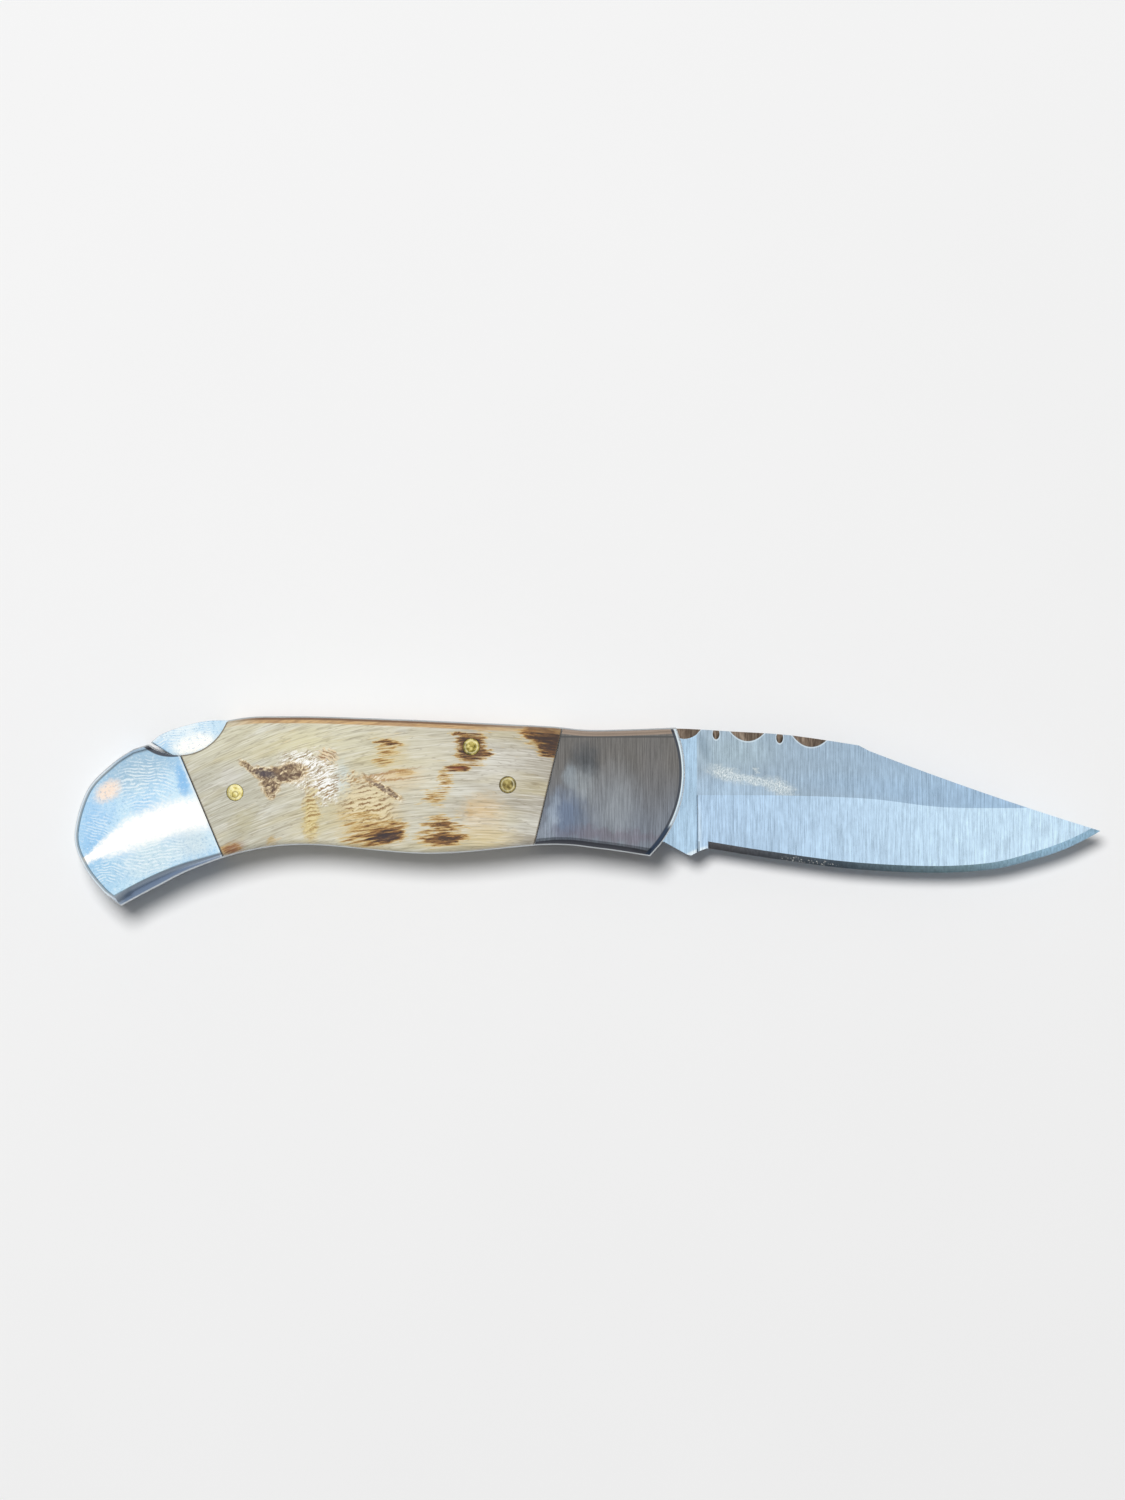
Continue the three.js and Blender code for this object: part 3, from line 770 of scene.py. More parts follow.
class Paint(Graph):
    """A material whose patterns are laid out in millimetres on the object."""

    def __init__(self, name: str) -> None:
        """Starts a material with one shader and its coordinates."""
        self.material = bpy.data.materials.new(name)
        self.material.use_nodes = True
        super().__init__(self.material.node_tree)
        self.tree.nodes.clear()
        self.shader = self.node("ShaderNodeBsdfPrincipled")
        output = self.node("ShaderNodeOutputMaterial")
        self.tree.links.new(self.shader.outputs[0], output.inputs[0])
        place = self.node("ShaderNodeTexCoord").outputs["Object"]
        self.mm = self.out("ShaderNodeVectorMath", {0: place, "Scale": 1 / MM}, operation="SCALE")
        self.x, self.y, self.z = self.parts(self.mm)

    def noise(self, vector: Socket, scale: float, detail: float = 2.0, roughness: float = 0.5) -> Socket:
        """Smooth noise of 0 to 1, scale being its waves in a millimetre."""
        inputs = {"Vector": vector, "Scale": scale, "Detail": detail, "Roughness": roughness}
        return self.out("ShaderNodeTexNoise", inputs)

    def stretched(self, vector: Socket, scale: tuple, turn: float = 0.0, shift: tuple = (0, 0, 0)) -> Socket:
        """Coordinates turned by an angle in degrees about Z, then scaled by axis."""
        turned = self.node(
            "ShaderNodeMapping", {"Vector": vector, "Rotation": (0, 0, math.radians(turn)), "Location": shift}
        ).outputs[0]
        return self.out("ShaderNodeVectorMath", {0: turned, 1: scale}, operation="MULTIPLY")

    def streaks(
        self, vector: Socket, scale: tuple, detail: float, roughness: float = 0.5, turn: float = 0.0,
        shift: tuple = (0, 0, 0),
    ) -> Socket:
        """Smooth noise with its own scale on each axis."""
        return self.noise(self.stretched(vector, scale, turn, shift), 1.0, detail, roughness)

    def step(self, value: Socket, low: float, high: float, start: float = 0.0, end: float = 1.0) -> Socket:
        """A smooth step of a value from start at low to end at high."""
        inputs = {"Value": value, "From Min": low, "From Max": high, "To Min": start, "To Max": end}
        return self.out("ShaderNodeMapRange", inputs, interpolation_type="SMOOTHSTEP")

    def mix(self, share: Value, first: Value, second: Value, blend: str = "MIX") -> Socket:
        """A mix of two colours."""
        inputs = {0: share, 6: first, 7: second}
        return self.node("ShaderNodeMix", inputs, data_type="RGBA", blend_type=blend).outputs[2]

    def patch(self, vector: Socket, mark: "Mark") -> Socket:
        """A soft-edged mark in coordinates of millimetres: its strength inside and 0 outside."""
        return self.step(self.reach(vector, mark), 1 + mark.soft, 1 - mark.soft, 0.0, mark.strength)

    def reach(self, vector: Socket, mark: "Mark") -> Socket:
        """How far out a point lies: 0 in the middle of a mark, 1 on its rim and FAR at most.

        A gradient measures it. The length of a vector would need a conversion at every mark, and Cycles would
        hold all of them at once, more than its stack takes.

        Args:
            vector: Coordinates in millimetres, ragged or not.
            mark: Place, size and shape.

        Returns:
            The value.
        """
        far = 1.0 if mark.square else FAR
        inputs = {
            "Vector": vector,
            "Location": (*mark.centre, 0),
            "Rotation": (0, 0, math.radians(mark.turn)),
            "Scale": [far * half for half in (*mark.half, DEEP)],
        }
        turned = self.out("ShaderNodeMapping", inputs, vector_type="TEXTURE")
        if not mark.square:
            inside = self.node("ShaderNodeTexGradient", {0: turned}, gradient_type="SPHERICAL").outputs["Fac"]
            return self.out("ShaderNodeMath", {0: inside, 1: -FAR, 2: FAR}, operation="MULTIPLY_ADD")
        powers = [self.math("POWER", self.math("ABSOLUTE", side), 4.0) for side in self.parts(turned)[:2]]
        return self.math("POWER", self.plus(*powers), 0.25)

    def warmth(self, vector: Socket, mark: "Mark") -> Socket:
        """The heat of a burn: its strength within the mark, falling below 0 outside it."""
        return self.step(self.reach(vector, mark), 1.8, 0.4, -0.7, mark.strength)

    def away(self, centre: Point) -> Socket:
        """Distance in the XY plane from a point."""
        flat = self.out("ShaderNodeVectorMath", {0: self.mm, 1: (1, 1, 0)}, operation="MULTIPLY")
        return self.node("ShaderNodeVectorMath", {0: flat, 1: (*centre, 0)}, operation="DISTANCE").outputs["Value"]

    def near(self, value: Socket, place: Value, half: float, soft: float = 0.05) -> Socket:
        """A mask: 1 where a value lies within half of a place, fading over soft."""
        gap = self.math("ABSOLUTE", self.minus(value, place))
        return self.step(gap, half + soft, half)

    def at_joint(self, joint: Callable[[float], float], offset: float = 0.0) -> Socket:
        """X of a joint of the handle at the point's height."""
        slope = (joint(10.0) - joint(0.0)) / 10.0
        return self.plus(self.times(self.y, slope), joint(0.0) + offset)

    def shaded(self, colour: Value, shade: Socket) -> Socket:
        """A colour made lighter or darker by a value."""
        return self.mix(1.0, colour, self.vector(shade, shade, shade), "MULTIPLY")

    def added(self, first: Value, second: Value) -> Socket:
        """The sum of two vectors."""
        return self.out("ShaderNodeVectorMath", {0: first, 1: second}, operation="ADD")

    def pushed(self, vector: Socket, pattern: Socket, scale: tuple, reach: Point) -> Socket:
        """Coordinates pushed about by noise, so that what is drawn on them has ragged edges.

        Args:
            vector: The coordinates.
            pattern: Coordinates that the noise is laid on.
            scale: Scale of the noise by axis.
            reach: Full range of the push in X and Y.

        Returns:
            The pushed coordinates.
        """
        inputs = {"Vector": self.stretched(pattern, scale), "Scale": 1.0, "Detail": 4.0, "Roughness": 0.65}
        torn = self.node("ShaderNodeTexNoise", inputs).outputs[1]
        centred = self.added(torn, (-0.5, -0.5, -0.5))
        inputs = {0: centred, 1: (2 * reach[0], 2 * reach[1], 0.0)}
        return self.added(self.node("ShaderNodeVectorMath", inputs, operation="MULTIPLY").outputs[0], vector)

    def depth(self) -> Socket:
        """How far a point lies under the nearer flat face of the handle."""
        middle = Layers().middle
        return self.minus(middle, self.math("ABSOLUTE", self.minus(self.z, middle)))

    def worked(self, start: float, full: float, strength: float = 1.0) -> Socket:
        """A mask of the rounded edges between two depths, which ends where the plain side begins."""
        depth = self.depth()
        return self.times(self.step(depth, start, full, 0.0, strength), self.step(depth, *PLAIN))

    def bump(self, height: Socket, depth: float, strength: float = 1.0) -> None:
        """Raises the surface by a pattern whose full height is a depth in millimetres."""
        inputs = {"Height": height, "Distance": depth * MM, "Strength": strength}
        made = self.out("ShaderNodeBump", inputs)
        self.tree.links.new(made, self.shader.inputs["Normal"])

    def finish(self, metallic: float, roughness: Value, colour: Value, **others: float) -> Material:
        """Sets what the shader is made of.

        Args:
            metallic: 1 for metal and 0 for anything else.
            roughness: A number or a pattern.
            colour: A pattern or a colour.
            others: Further inputs of the shader, with _ for a space.

        Returns:
            The material.
        """
        values = {"Metallic": metallic, "Roughness": roughness, "Base Color": colour, **others}
        for name, value in values.items():
            self.plug(self.shader.inputs[name.replace("_", " ")], value)
        return self.material


@dataclass(frozen=True)
class Mark:
    """A stain, a burn or a patch of painted light or shade: an ellipse with a soft edge."""

    centre: Point
    half: Point
    turn: float = 0.0
    soft: float = 0.35
    strength: float = 1.0
    colour: Colour = srgb(120, 80, 45)
    square: bool = False


def stains_and_painted_light(*rows: tuple[float, ...]) -> tuple[Mark, ...]:
    """Marks from rows of X, Y, half length, half width, turn, softness, strength, red, green and blue."""
    return tuple(Mark(row[:2], row[2:4], *row[4:7], srgb(*row[7:])) for row in rows)


def burns(*rows: tuple[float, ...]) -> tuple[Mark, ...]:
    """Marks from rows of X, Y, half length, half width, turn and strength, with True after them if square."""
    return tuple(Mark(row[:2], row[2:4], row[4], strength=row[5], square=len(row) > 6) for row in rows)


class Recipe(Graph):
    """A tree of geometry nodes with named inputs."""

    KINDS = {float: "NodeSocketFloat", int: "NodeSocketInt"}

    def __init__(self, name: str, sizes: dict[str, Union[float, int]]) -> None:
        """Starts the tree.

        Args:
            name: Name of the tree.
            sizes: Its named inputs and their values.
        """
        super().__init__(bpy.data.node_groups.new(name, "GeometryNodeTree"))
        sockets = self.tree.interface
        sockets.new_socket("Geometry", in_out="INPUT", socket_type="NodeSocketGeometry")
        self.values: dict[str, object] = {}
        for label, value in sizes.items():
            made = sockets.new_socket(label, in_out="INPUT", socket_type=self.KINDS[type(value)])
            self.values[made.identifier] = value
        self.coat = sockets.new_socket("Finish", in_out="INPUT", socket_type="NodeSocketMaterial").identifier
        sockets.new_socket("Geometry", in_out="OUTPUT", socket_type="NodeSocketGeometry")
        self.given = self.node("NodeGroupInput").outputs

    def end(self, geometry: Socket) -> None:
        """Ends the tree: instances become real and take the finish."""
        real = self.out("GeometryNodeRealizeInstances", {0: geometry})
        dressed = self.out("GeometryNodeSetMaterial", {0: real, "Material": self.given["Finish"]})
        self.node("NodeGroupOutput", {0: dressed})

    def run(self, made: Thing, finish: Material) -> Thing:
        """Runs the tree on an object and keeps the result as its mesh.

        Args:
            made: The object whose mesh goes in.
            finish: The material that comes out on it.

        Returns:
            The same object, without modifiers.
        """
        modifier = made.modifiers.new(self.tree.name, "NODES")
        modifier.node_group = self.tree
        for identifier, value in self.values.items():
            modifier[identifier] = value
        modifier[self.coat] = finish
        return baked(made)


def loops(name: str, outlines: Sequence[Sequence[Point]]) -> Thing:
    """Makes an object of closed lines in the XY plane, for a tree to fill.

    Args:
        name: Name of the object.
        outlines: Its closed outlines. One inside another is a hole.

    Returns:
        The object, in millimetres.
    """
    points: list[tuple[float, float, float]] = []
    edges: list[tuple[int, int]] = []
    for outline in outlines:
        first, count = len(points), len(outline)
        points += [(x, y, 0.0) for x, y in outline]
        edges += [(first + i, first + (i + 1) % count) for i in range(count)]
    return meshed(name, points, edges)


def outward(made: Thing) -> Thing:
    """Merges double points of an object and turns its faces outwards."""
    with opened(made) as form:
        bmesh.ops.remove_doubles(form, verts=form.verts, dist=WELD)
        bmesh.ops.recalc_face_normals(form, faces=form.faces)
    return made


def plate(
    name: str, outlines: Sequence[Sequence[Point]], low: float, high: float, finish: Material
) -> Thing:
    """Makes a flat steel plate with a tree that fills its outline and raises it.

    Args:
        name: Name of the plate.
        outlines: Its outline, and those of its holes.
        low: Lower face.
        high: Upper face.
        finish: Its material.

    Returns:
        The plate, in millimetres.
    """
    recipe = Recipe(f"{name}_plate", {"Base Height": low, "Thickness": high - low})
    curve = recipe.out("GeometryNodeMeshToCurve", {0: recipe.given["Geometry"]})
    face = recipe.out("GeometryNodeFillCurve", {0: curve})
    raised = recipe.node(
        "GeometryNodeExtrudeMesh",
        {"Mesh": face, "Offset Scale": recipe.given["Thickness"], "Individual": False},
    ).outputs[0]
    under = recipe.out("GeometryNodeFlipFaces", {0: face})
    both = recipe.node("GeometryNodeJoinGeometry")
    recipe.tree.links.new(raised, both.inputs[0])
    recipe.tree.links.new(under, both.inputs[0])
    welded = recipe.out("GeometryNodeMergeByDistance", {0: both.outputs[0], "Distance": WELD})
    lift = recipe.vector(z=recipe.given["Base Height"])
    recipe.end(recipe.node("GeometryNodeTransform", {0: welded, "Translation": lift}).outputs[0])
    return outward(recipe.run(loops(name, outlines), finish))


def settle(made: Thing, body: Body, slot: Slot, *nodes: str) -> Thing:
    """Puts a finished piece in its place on the knife.

    Args:
        made: The piece, in millimetres.
        body: The body that it moves with.
        slot: The record's slot for its finish, not used.
        nodes: The solids that it stands for.

    Returns:
        The piece, in metres.
    """
    low, high = BOX
    for vertex in made.data.vertices:
        place = vertex.co * MM
        vertex.co = [min(max(v, a), b) for v, a, b in zip(place, low, high)]
    made.data.update()
    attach(made, body.value)
    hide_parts(*nodes)
    made.data.calc_loop_triangles()
    LOG.info("%s: %d triangles, moves with %s", made.name, len(made.data.loop_triangles), body.value)
    return made


# Finishes


@dataclass(frozen=True)
class PlainSteel:
    """Satin steel of the liners, the spring and the hidden pins."""

    name: str = "liner_satin"
    colour: Colour = srgb(205, 210, 214)
    roughness: float = 0.3

    def material(self) -> Material:
        """Steel with fine grinding marks along the knife."""
        paint = Paint(self.name)
        lines = paint.streaks(paint.mm, (0.25, 5.0, 5.0), 3.0)
        dark = tuple(v * 0.72 for v in self.colour)
        colour = paint.mix(paint.step(lines, 0.3, 0.7), dark, self.colour)
        rough = paint.step(lines, 0.2, 0.8, self.roughness - 0.06, self.roughness + 0.08)
        return paint.finish(1.0, rough, colour)


@dataclass(frozen=True)
class BrushedBlade:
    """Blade steel brushed across the blade, tinted blue and paler towards the tip as a painted reflection."""

    name: str
    heel: Colour
    tip: Colour
    heel_x: float = 12.0
    tip_x: float = 62.0
    depth: float = 0.003
    smears: tuple[Mark, ...] = ()
    # marks holds patches of painted shade, reflection and highlight; rims are painted highlight lines round the file
    # cuts
    marks: tuple[Mark, ...] = ()
    rims: tuple[Mark, ...] = ()

    def material(self) -> Material:
        """Steel with brush lines from the spine to the edge."""
        paint = Paint(self.name)
        base = paint.mix(paint.step(paint.x, self.heel_x, self.tip_x), self.heel, self.tip)
        # painted light: patches of painted shade, reflection and highlight laid over the base tone
        for mark in self.marks:
            base = paint.mix(paint.patch(paint.mm, mark), base, mark.colour)
        lines = paint.streaks(paint.mm, (5.2, 0.14, 1.0), 4.0, 0.8)
        cloud = paint.streaks(paint.mm, (0.9, 0.3, 1.0), 3.0)
        weave = paint.streaks(paint.mm, (1.8, 0.9, 1.0), 3.0, 0.6)
        shade = paint.times(
            paint.step(lines, 0.28, 0.72, 0.7, 1.26), paint.step(cloud, 0.3, 0.7, 0.95, 1.05),
            paint.step(weave, 0.3, 0.7, 0.95, 1.05),
        )
        colour = paint.shaded(base, shade)
        # painted highlight: a pale line along the rim of each file cut
        for rim in self.rims:
            place, half, soft = (width / rim.half[1] for width in (0.1, 0.06, 0.1))
            line = paint.near(paint.reach(paint.mm, rim), 1.0 + place, half, soft)
            colour = paint.mix(paint.times(line, 0.6), colour, srgb(216, 230, 240))
        rough = paint.step(lines, 0.2, 0.8, 0.24, 0.34)
        paint.bump(lines, self.depth)
        if self.smears:
            colour = self.residue(paint, colour)
        return paint.finish(1.0, rough, colour)

    def residue(self, paint: Paint, colour: Socket) -> Socket:
        """Lays a dried, crusty smear on the flat of the blade.

        Args:
            paint: The material.
            colour: Its colour so far.

        Returns:
            The colour with the smear.
        """
        torn = paint.pushed(paint.mm, paint.mm, (0.9, 1.6, 1.0), (1.6, 0.7))
        crust = paint.streaks(paint.mm, (4.6, 3.0, 1.0), 4.0, 0.8, turn=20.0)
        body: Value = 0.0
        for mark in self.smears:
            body = paint.math("MAXIMUM", body, paint.patch(torn, mark))
        colour = paint.mix(paint.times(body, 0.6), colour, srgb(204, 216, 220))
        colour = paint.mix(paint.times(body, paint.step(crust, 0.5, 0.62, 0.0, 0.8)), colour, srgb(244, 248, 248))
        return paint.mix(paint.times(body, paint.step(crust, 0.48, 0.38, 0.0, 0.7)), colour, srgb(128, 142, 150))


@dataclass(frozen=True)
class EdgeSteel:
    """The honed edge bevel, painted dark as shade where it faces away and bright as a reflection towards the tip."""

    name: str = "edge_bevel"

    def material(self) -> Material:
        """Steel with coarse honing marks and a few bright specks."""
        paint = Paint(self.name)
        along = paint.math("DIVIDE", paint.x, 70.0)
        # painted shade and reflection: dark along most of the bevel, bright towards the tip
        base = paint.ramp(along, (
            (0.2, srgb(88, 88, 92)), (0.45, srgb(74, 85, 95)), (0.72, srgb(114, 138, 148)), (0.9, srgb(150, 184, 208)),
        ))
        lines = paint.streaks(paint.mm, (3.4, 1.2, 1.0), 4.0, 0.7)
        colour = paint.shaded(base, paint.step(lines, 0.3, 0.7, 0.78, 1.22))
        specks = paint.step(paint.noise(paint.mm, 4.5, 2.0), 0.6, 0.68)
        where = paint.patch(paint.mm, Mark((27.2, -7.3), (4.4, 0.5), -8.0, 0.3))
        colour = paint.mix(paint.times(specks, where), colour, srgb(244, 244, 240))
        return paint.finish(1.0, 0.34, colour)


@dataclass(frozen=True)
class FileFacet:
    """The coarse floor of the file cuts, painted brown as a reflection of brown surroundings."""

    name: str = "file_cut"

    def material(self) -> Material:
        """Steel with file marks that run down each cut."""
        paint = Paint(self.name)
        lines = paint.streaks(paint.mm, (6.0, 0.5, 0.5), 3.0, 0.6)
        # painted reflection: brown tones for the surroundings mirrored in the upward-facing cuts
        colour = paint.ramp(lines, ((0.25, srgb(84, 72, 64)), (0.5, srgb(128, 112, 98)), (0.75, srgb(176, 160, 144))))
        return paint.finish(1.0, 0.36, colour)


@dataclass(frozen=True)
class HighlightBand:
    """A bent, ragged band of painted highlight that widens along the knife."""

    origin: Point = (-64.0, -0.5)
    slope: float = 0.22
    bend: float = -0.0165
    start: float = -79.2
    full: float = -71.0
    widths: Point = (0.55, 2.3)


@dataclass(frozen=True)
class PolishedSteel:
    """Buffed steel with fingerprints, tinted blue as a painted reflection, with a painted highlight band."""

    name: str
    deep: Colour
    pale: Colour
    highlight_bands: tuple[HighlightBand, ...] = ()
    stains_and_painted_light: tuple[Mark, ...] = ()
    prints: tuple[tuple[Mark, Point, float], ...] = ()
    painted_edge_light: bool = False

    def material(self) -> Material:
        """Polished steel, clouded blue as a painted sky reflection, with prints in its gloss."""
        paint = Paint(self.name)
        cloud = paint.noise(paint.mm, 0.2, 3.0, 0.6)
        fine = paint.noise(paint.mm, 2.2, 4.0, 0.75)
        ragged = paint.pushed(paint.mm, paint.mm, (1.3, 1.3, 1.0), (0.8, 0.8))
        # painted reflection: the clouded blue between deep and pale stands for sky mirrored in the polish
        colour = paint.mix(paint.step(cloud, 0.36, 0.64), self.deep, self.pale)
        # painted reflections and highlights, laid as patches
        for mark in self.stains_and_painted_light:
            colour = paint.mix(paint.patch(ragged, mark), colour, mark.colour)
        colour = paint.mix(paint.step(fine, 0.52, 0.68, 0.0, 0.45), colour, srgb(232, 242, 247))
        colour = paint.mix(paint.step(fine, 0.48, 0.34, 0.0, 0.5), colour, srgb(140, 176, 206))
        rough = paint.step(fine, 0.3, 0.7, 0.10, 0.2)
        ridges = None
        for mark, centre, spacing in self.prints:
            ridge = self.ridges(paint, mark, centre, spacing)
            ridges = ridge if ridges is None else paint.math("MAXIMUM", ridges, ridge)
        if ridges is not None:
            colour = paint.mix(ridges, colour, srgb(236, 246, 252))
            rough = paint.plus(rough, paint.times(ridges, 0.14))
        # painted highlight: a near-white band over the flat face, where a strip of light is mirrored
        for band in self.highlight_bands:
            face = paint.step(paint.depth(), 0.9, 0.4)
            colour = paint.mix(paint.times(face, self.band(paint, ragged, fine, band)), colour, srgb(255, 254, 250))
        if self.painted_edge_light:
            colour = self.edges(paint, colour)
        return paint.finish(1.0, rough, colour)

    def band(self, paint: Paint, ragged: Socket, fine: Socket, band: HighlightBand) -> Socket:
        """The mask of a painted highlight band.

        Args:
            paint: The material.
            ragged: Coordinates with ragged edges.
            fine: Pattern of the mottling round the band.
            band: The band.

        Returns:
            The mask.
        """
        x, y, _ = paint.parts(ragged)
        off = paint.minus(x, band.origin[0])
        slant = paint.times(off, band.slope)
        bow = paint.times(paint.times(off, off), band.bend)
        middle = paint.plus(paint.plus(slant, bow), band.origin[1])
        width = paint.step(x, band.start, band.full, *band.widths)
        gap = paint.math("DIVIDE", paint.math("ABSOLUTE", paint.minus(y, middle)), width)
        mottled = paint.plus(gap, paint.times(paint.minus(fine, 0.5), 1.3))
        return paint.times(paint.step(mottled, 1.55, 0.5), paint.step(x, band.start - 0.4, band.start + 0.4))

    def edges(self, paint: Paint, colour: Socket) -> Socket:
        """Paints reflections, highlights and shade on the rear bolster's edges and in the lip of its thumb notch.

        Args:
            paint: The material.
            colour: The colour so far.

        Returns:
            The colour with its edges.
        """
        form = HandleForm()
        line = paint.plus(paint.times(paint.x, 0.5175), 26.7)
        # painted reflection: darker bands on the belly-side rounding
        below = paint.step(paint.minus(paint.y, line), 0.3, -0.3)
        colour = paint.mix(paint.times(below, paint.worked(0.02, 0.12)), colour, srgb(176, 192, 212))
        colour = paint.mix(paint.times(below, paint.worked(0.3, 0.7)), colour, srgb(118, 136, 162))
        # painted reflection: a darker band on the spine-side rounding
        above = paint.step(paint.y, 3.0, 6.0)
        colour = paint.mix(paint.times(above, paint.worked(0.03, 0.2, 0.5)), colour, srgb(168, 186, 204))
        # painted highlight: a pale rim round the butt
        butt = paint.step(paint.x, -72.0, -75.5)
        colour = paint.mix(paint.times(butt, paint.worked(0.02, 0.12, 0.8)), colour, srgb(232, 242, 248))
        # painted shade: a dark lip where the thumb notch meets the lock bar's tail
        lip = paint.minus(paint.away(form.notch_centre), form.notch_radius)
        width = paint.step(paint.x, -63.2, -68.6, 0.1, 0.55)
        dark = paint.step(paint.math("DIVIDE", lip, width), 1.15, 0.85)
        colour = paint.mix(paint.times(dark, 0.9), colour, srgb(64, 58, 62))
        # painted highlight: a thin pale line beside the rear joint
        joint_highlight = paint.near(paint.x, paint.at_joint(form.rear_joint, -0.25), 0.06, 0.1)
        return paint.mix(paint.times(joint_highlight, 0.5), colour, srgb(226, 232, 234))

    def ridges(self, paint: Paint, mark: Mark, centre: Point, spacing: float) -> Socket:
        """Lays the ridges of a fingerprint within a mark.

        Args:
            paint: The material.
            mark: Where the finger touched.
            centre: Centre of the curved ridges.
            spacing: Distance from ridge to ridge.

        Returns:
            The mask of the ridges.
        """
        away = paint.stretched(paint.mm, (1.0, 1.35, 0.0), shift=(-centre[0], -centre[1], 0))
        bent = paint.times(paint.noise(paint.mm, 0.3, 2.0), 2.4)
        radius = paint.node("ShaderNodeVectorMath", {0: away}, operation="LENGTH").outputs["Value"]
        wave = paint.math("SINE", paint.times(paint.plus(radius, bent), math.tau / spacing))
        broken = paint.step(paint.noise(paint.mm, 1.2, 2.0), 0.34, 0.56)
        ridge = paint.times(paint.step(wave, -0.2, 0.7), broken)
        return paint.times(ridge, paint.patch(paint.mm, mark))


@dataclass(frozen=True)
class BrushedBolster:
    """Satin steel of the front bolsters, brushed from the spine to the belly, painted dark as a reflection."""

    name: str = "front_bolster_brushed"

    def material(self) -> Material:
        """Brushed steel, painted cooler towards the belly, with cloudy dark and bright patches of painted reflection.
        """
        paint = Paint(self.name)
        torn = paint.pushed(paint.mm, paint.mm, (0.8, 0.5, 1.0), (1.4, 1.8))
        # painted reflection: the grey turns cooler towards the belly
        colour = paint.mix(paint.step(paint.y, 8.0, -3.0), srgb(114, 112, 110), srgb(124, 131, 142))
        # painted reflection: cloudy dark and bright patches
        for mark in stains_and_painted_light(
            (-5.3, 7.2, 1.9, 2.4, 0.0, 0.8, 0.65, 74, 80, 87),
            (-6.0, 3.7, 1.9, 2.3, -20.0, 0.9, 0.5, 168, 176, 182),
            (-7.6, 5.4, 0.8, 1.6, 0.0, 0.9, 0.45, 156, 168, 178),
            (-8.2, -0.3, 2.4, 2.9, 0.0, 0.8, 0.7, 104, 120, 146),
            (-10.4, -1.2, 0.8, 3.2, -14.0, 0.8, 0.6, 166, 178, 192),
            (-1.0, 0.8, 2.6, 4.6, 0.0, 0.9, 0.5, 158, 164, 170),
            (4.6, 4.6, 1.8, 6.0, 0.0, 0.9, 0.35, 118, 118, 120),
            (-1.5, -3.3, 8.0, 0.9, -4.0, 0.7, 0.5, 116, 106, 118),
        ):
            colour = paint.mix(paint.patch(torn, mark), colour, mark.colour)
        lines = paint.streaks(paint.mm, (6.0, 0.2, 1.0), 4.0, 0.8)
        broad = paint.streaks(paint.mm, (2.6, 0.1, 1.0), 3.0, 0.6)
        shade = paint.times(paint.step(lines, 0.28, 0.72, 0.67, 1.33), paint.step(broad, 0.3, 0.7, 0.97, 1.04))
        colour = paint.shaded(colour, shade)
        colour = self.edges(paint, colour)
        paint.bump(lines, 0.003)
        return paint.finish(1.0, paint.step(lines, 0.2, 0.8, 0.26, 0.38), colour)

    def edges(self, paint: Paint, colour: Socket) -> Socket:
        """Paints reflections on the edges: tan along the spine, black along the belly and bright round the front.

        Args:
            paint: The material.
            colour: The colour so far.

        Returns:
            The colour with its edges.
        """
        form = HandleForm()
        under = paint.worked(0.04, 0.16)
        spine, belly = paint.step(paint.y, 8.0, 10.0), paint.step(paint.y, -1.6, -3.2)
        # painted reflection: a dark line and tan and brown bands on the spine-side rounding, black on the belly side
        colour = paint.mix(paint.near(paint.y, form.spine - 1.36, 0.07, 0.1), colour, srgb(92, 92, 92))
        colour = paint.mix(paint.times(under, spine, 0.85), colour, srgb(178, 158, 142))
        colour = paint.mix(paint.times(paint.worked(0.6, 0.9), spine, 0.7), colour, srgb(128, 106, 90))
        colour = paint.mix(paint.times(paint.worked(0.2, 0.34), belly, 0.92), colour, srgb(64, 65, 72))
        out = paint.away(form.front_centre)
        rim = form.front_radius - form.liner_proud
        # painted reflection: a dark ring inside the front arc, a bright highlight on it, dark blue on its lower part
        colour = paint.mix(paint.near(out, rim - 0.52, 0.1, 0.14), colour, srgb(76, 80, 88))
        worked = paint.step(paint.depth(), *PLAIN)
        bright = paint.times(paint.step(out, rim - 0.36, rim - 0.26), worked, paint.step(paint.y, -2.6, -1.6))
        colour = paint.mix(bright, colour, srgb(226, 240, 248))
        dark = paint.times(paint.step(out, rim - 0.7, rim - 0.5), paint.step(paint.y, -1.6, -2.6), worked, 0.9)
        return paint.mix(dark, colour, srgb(52, 66, 86))


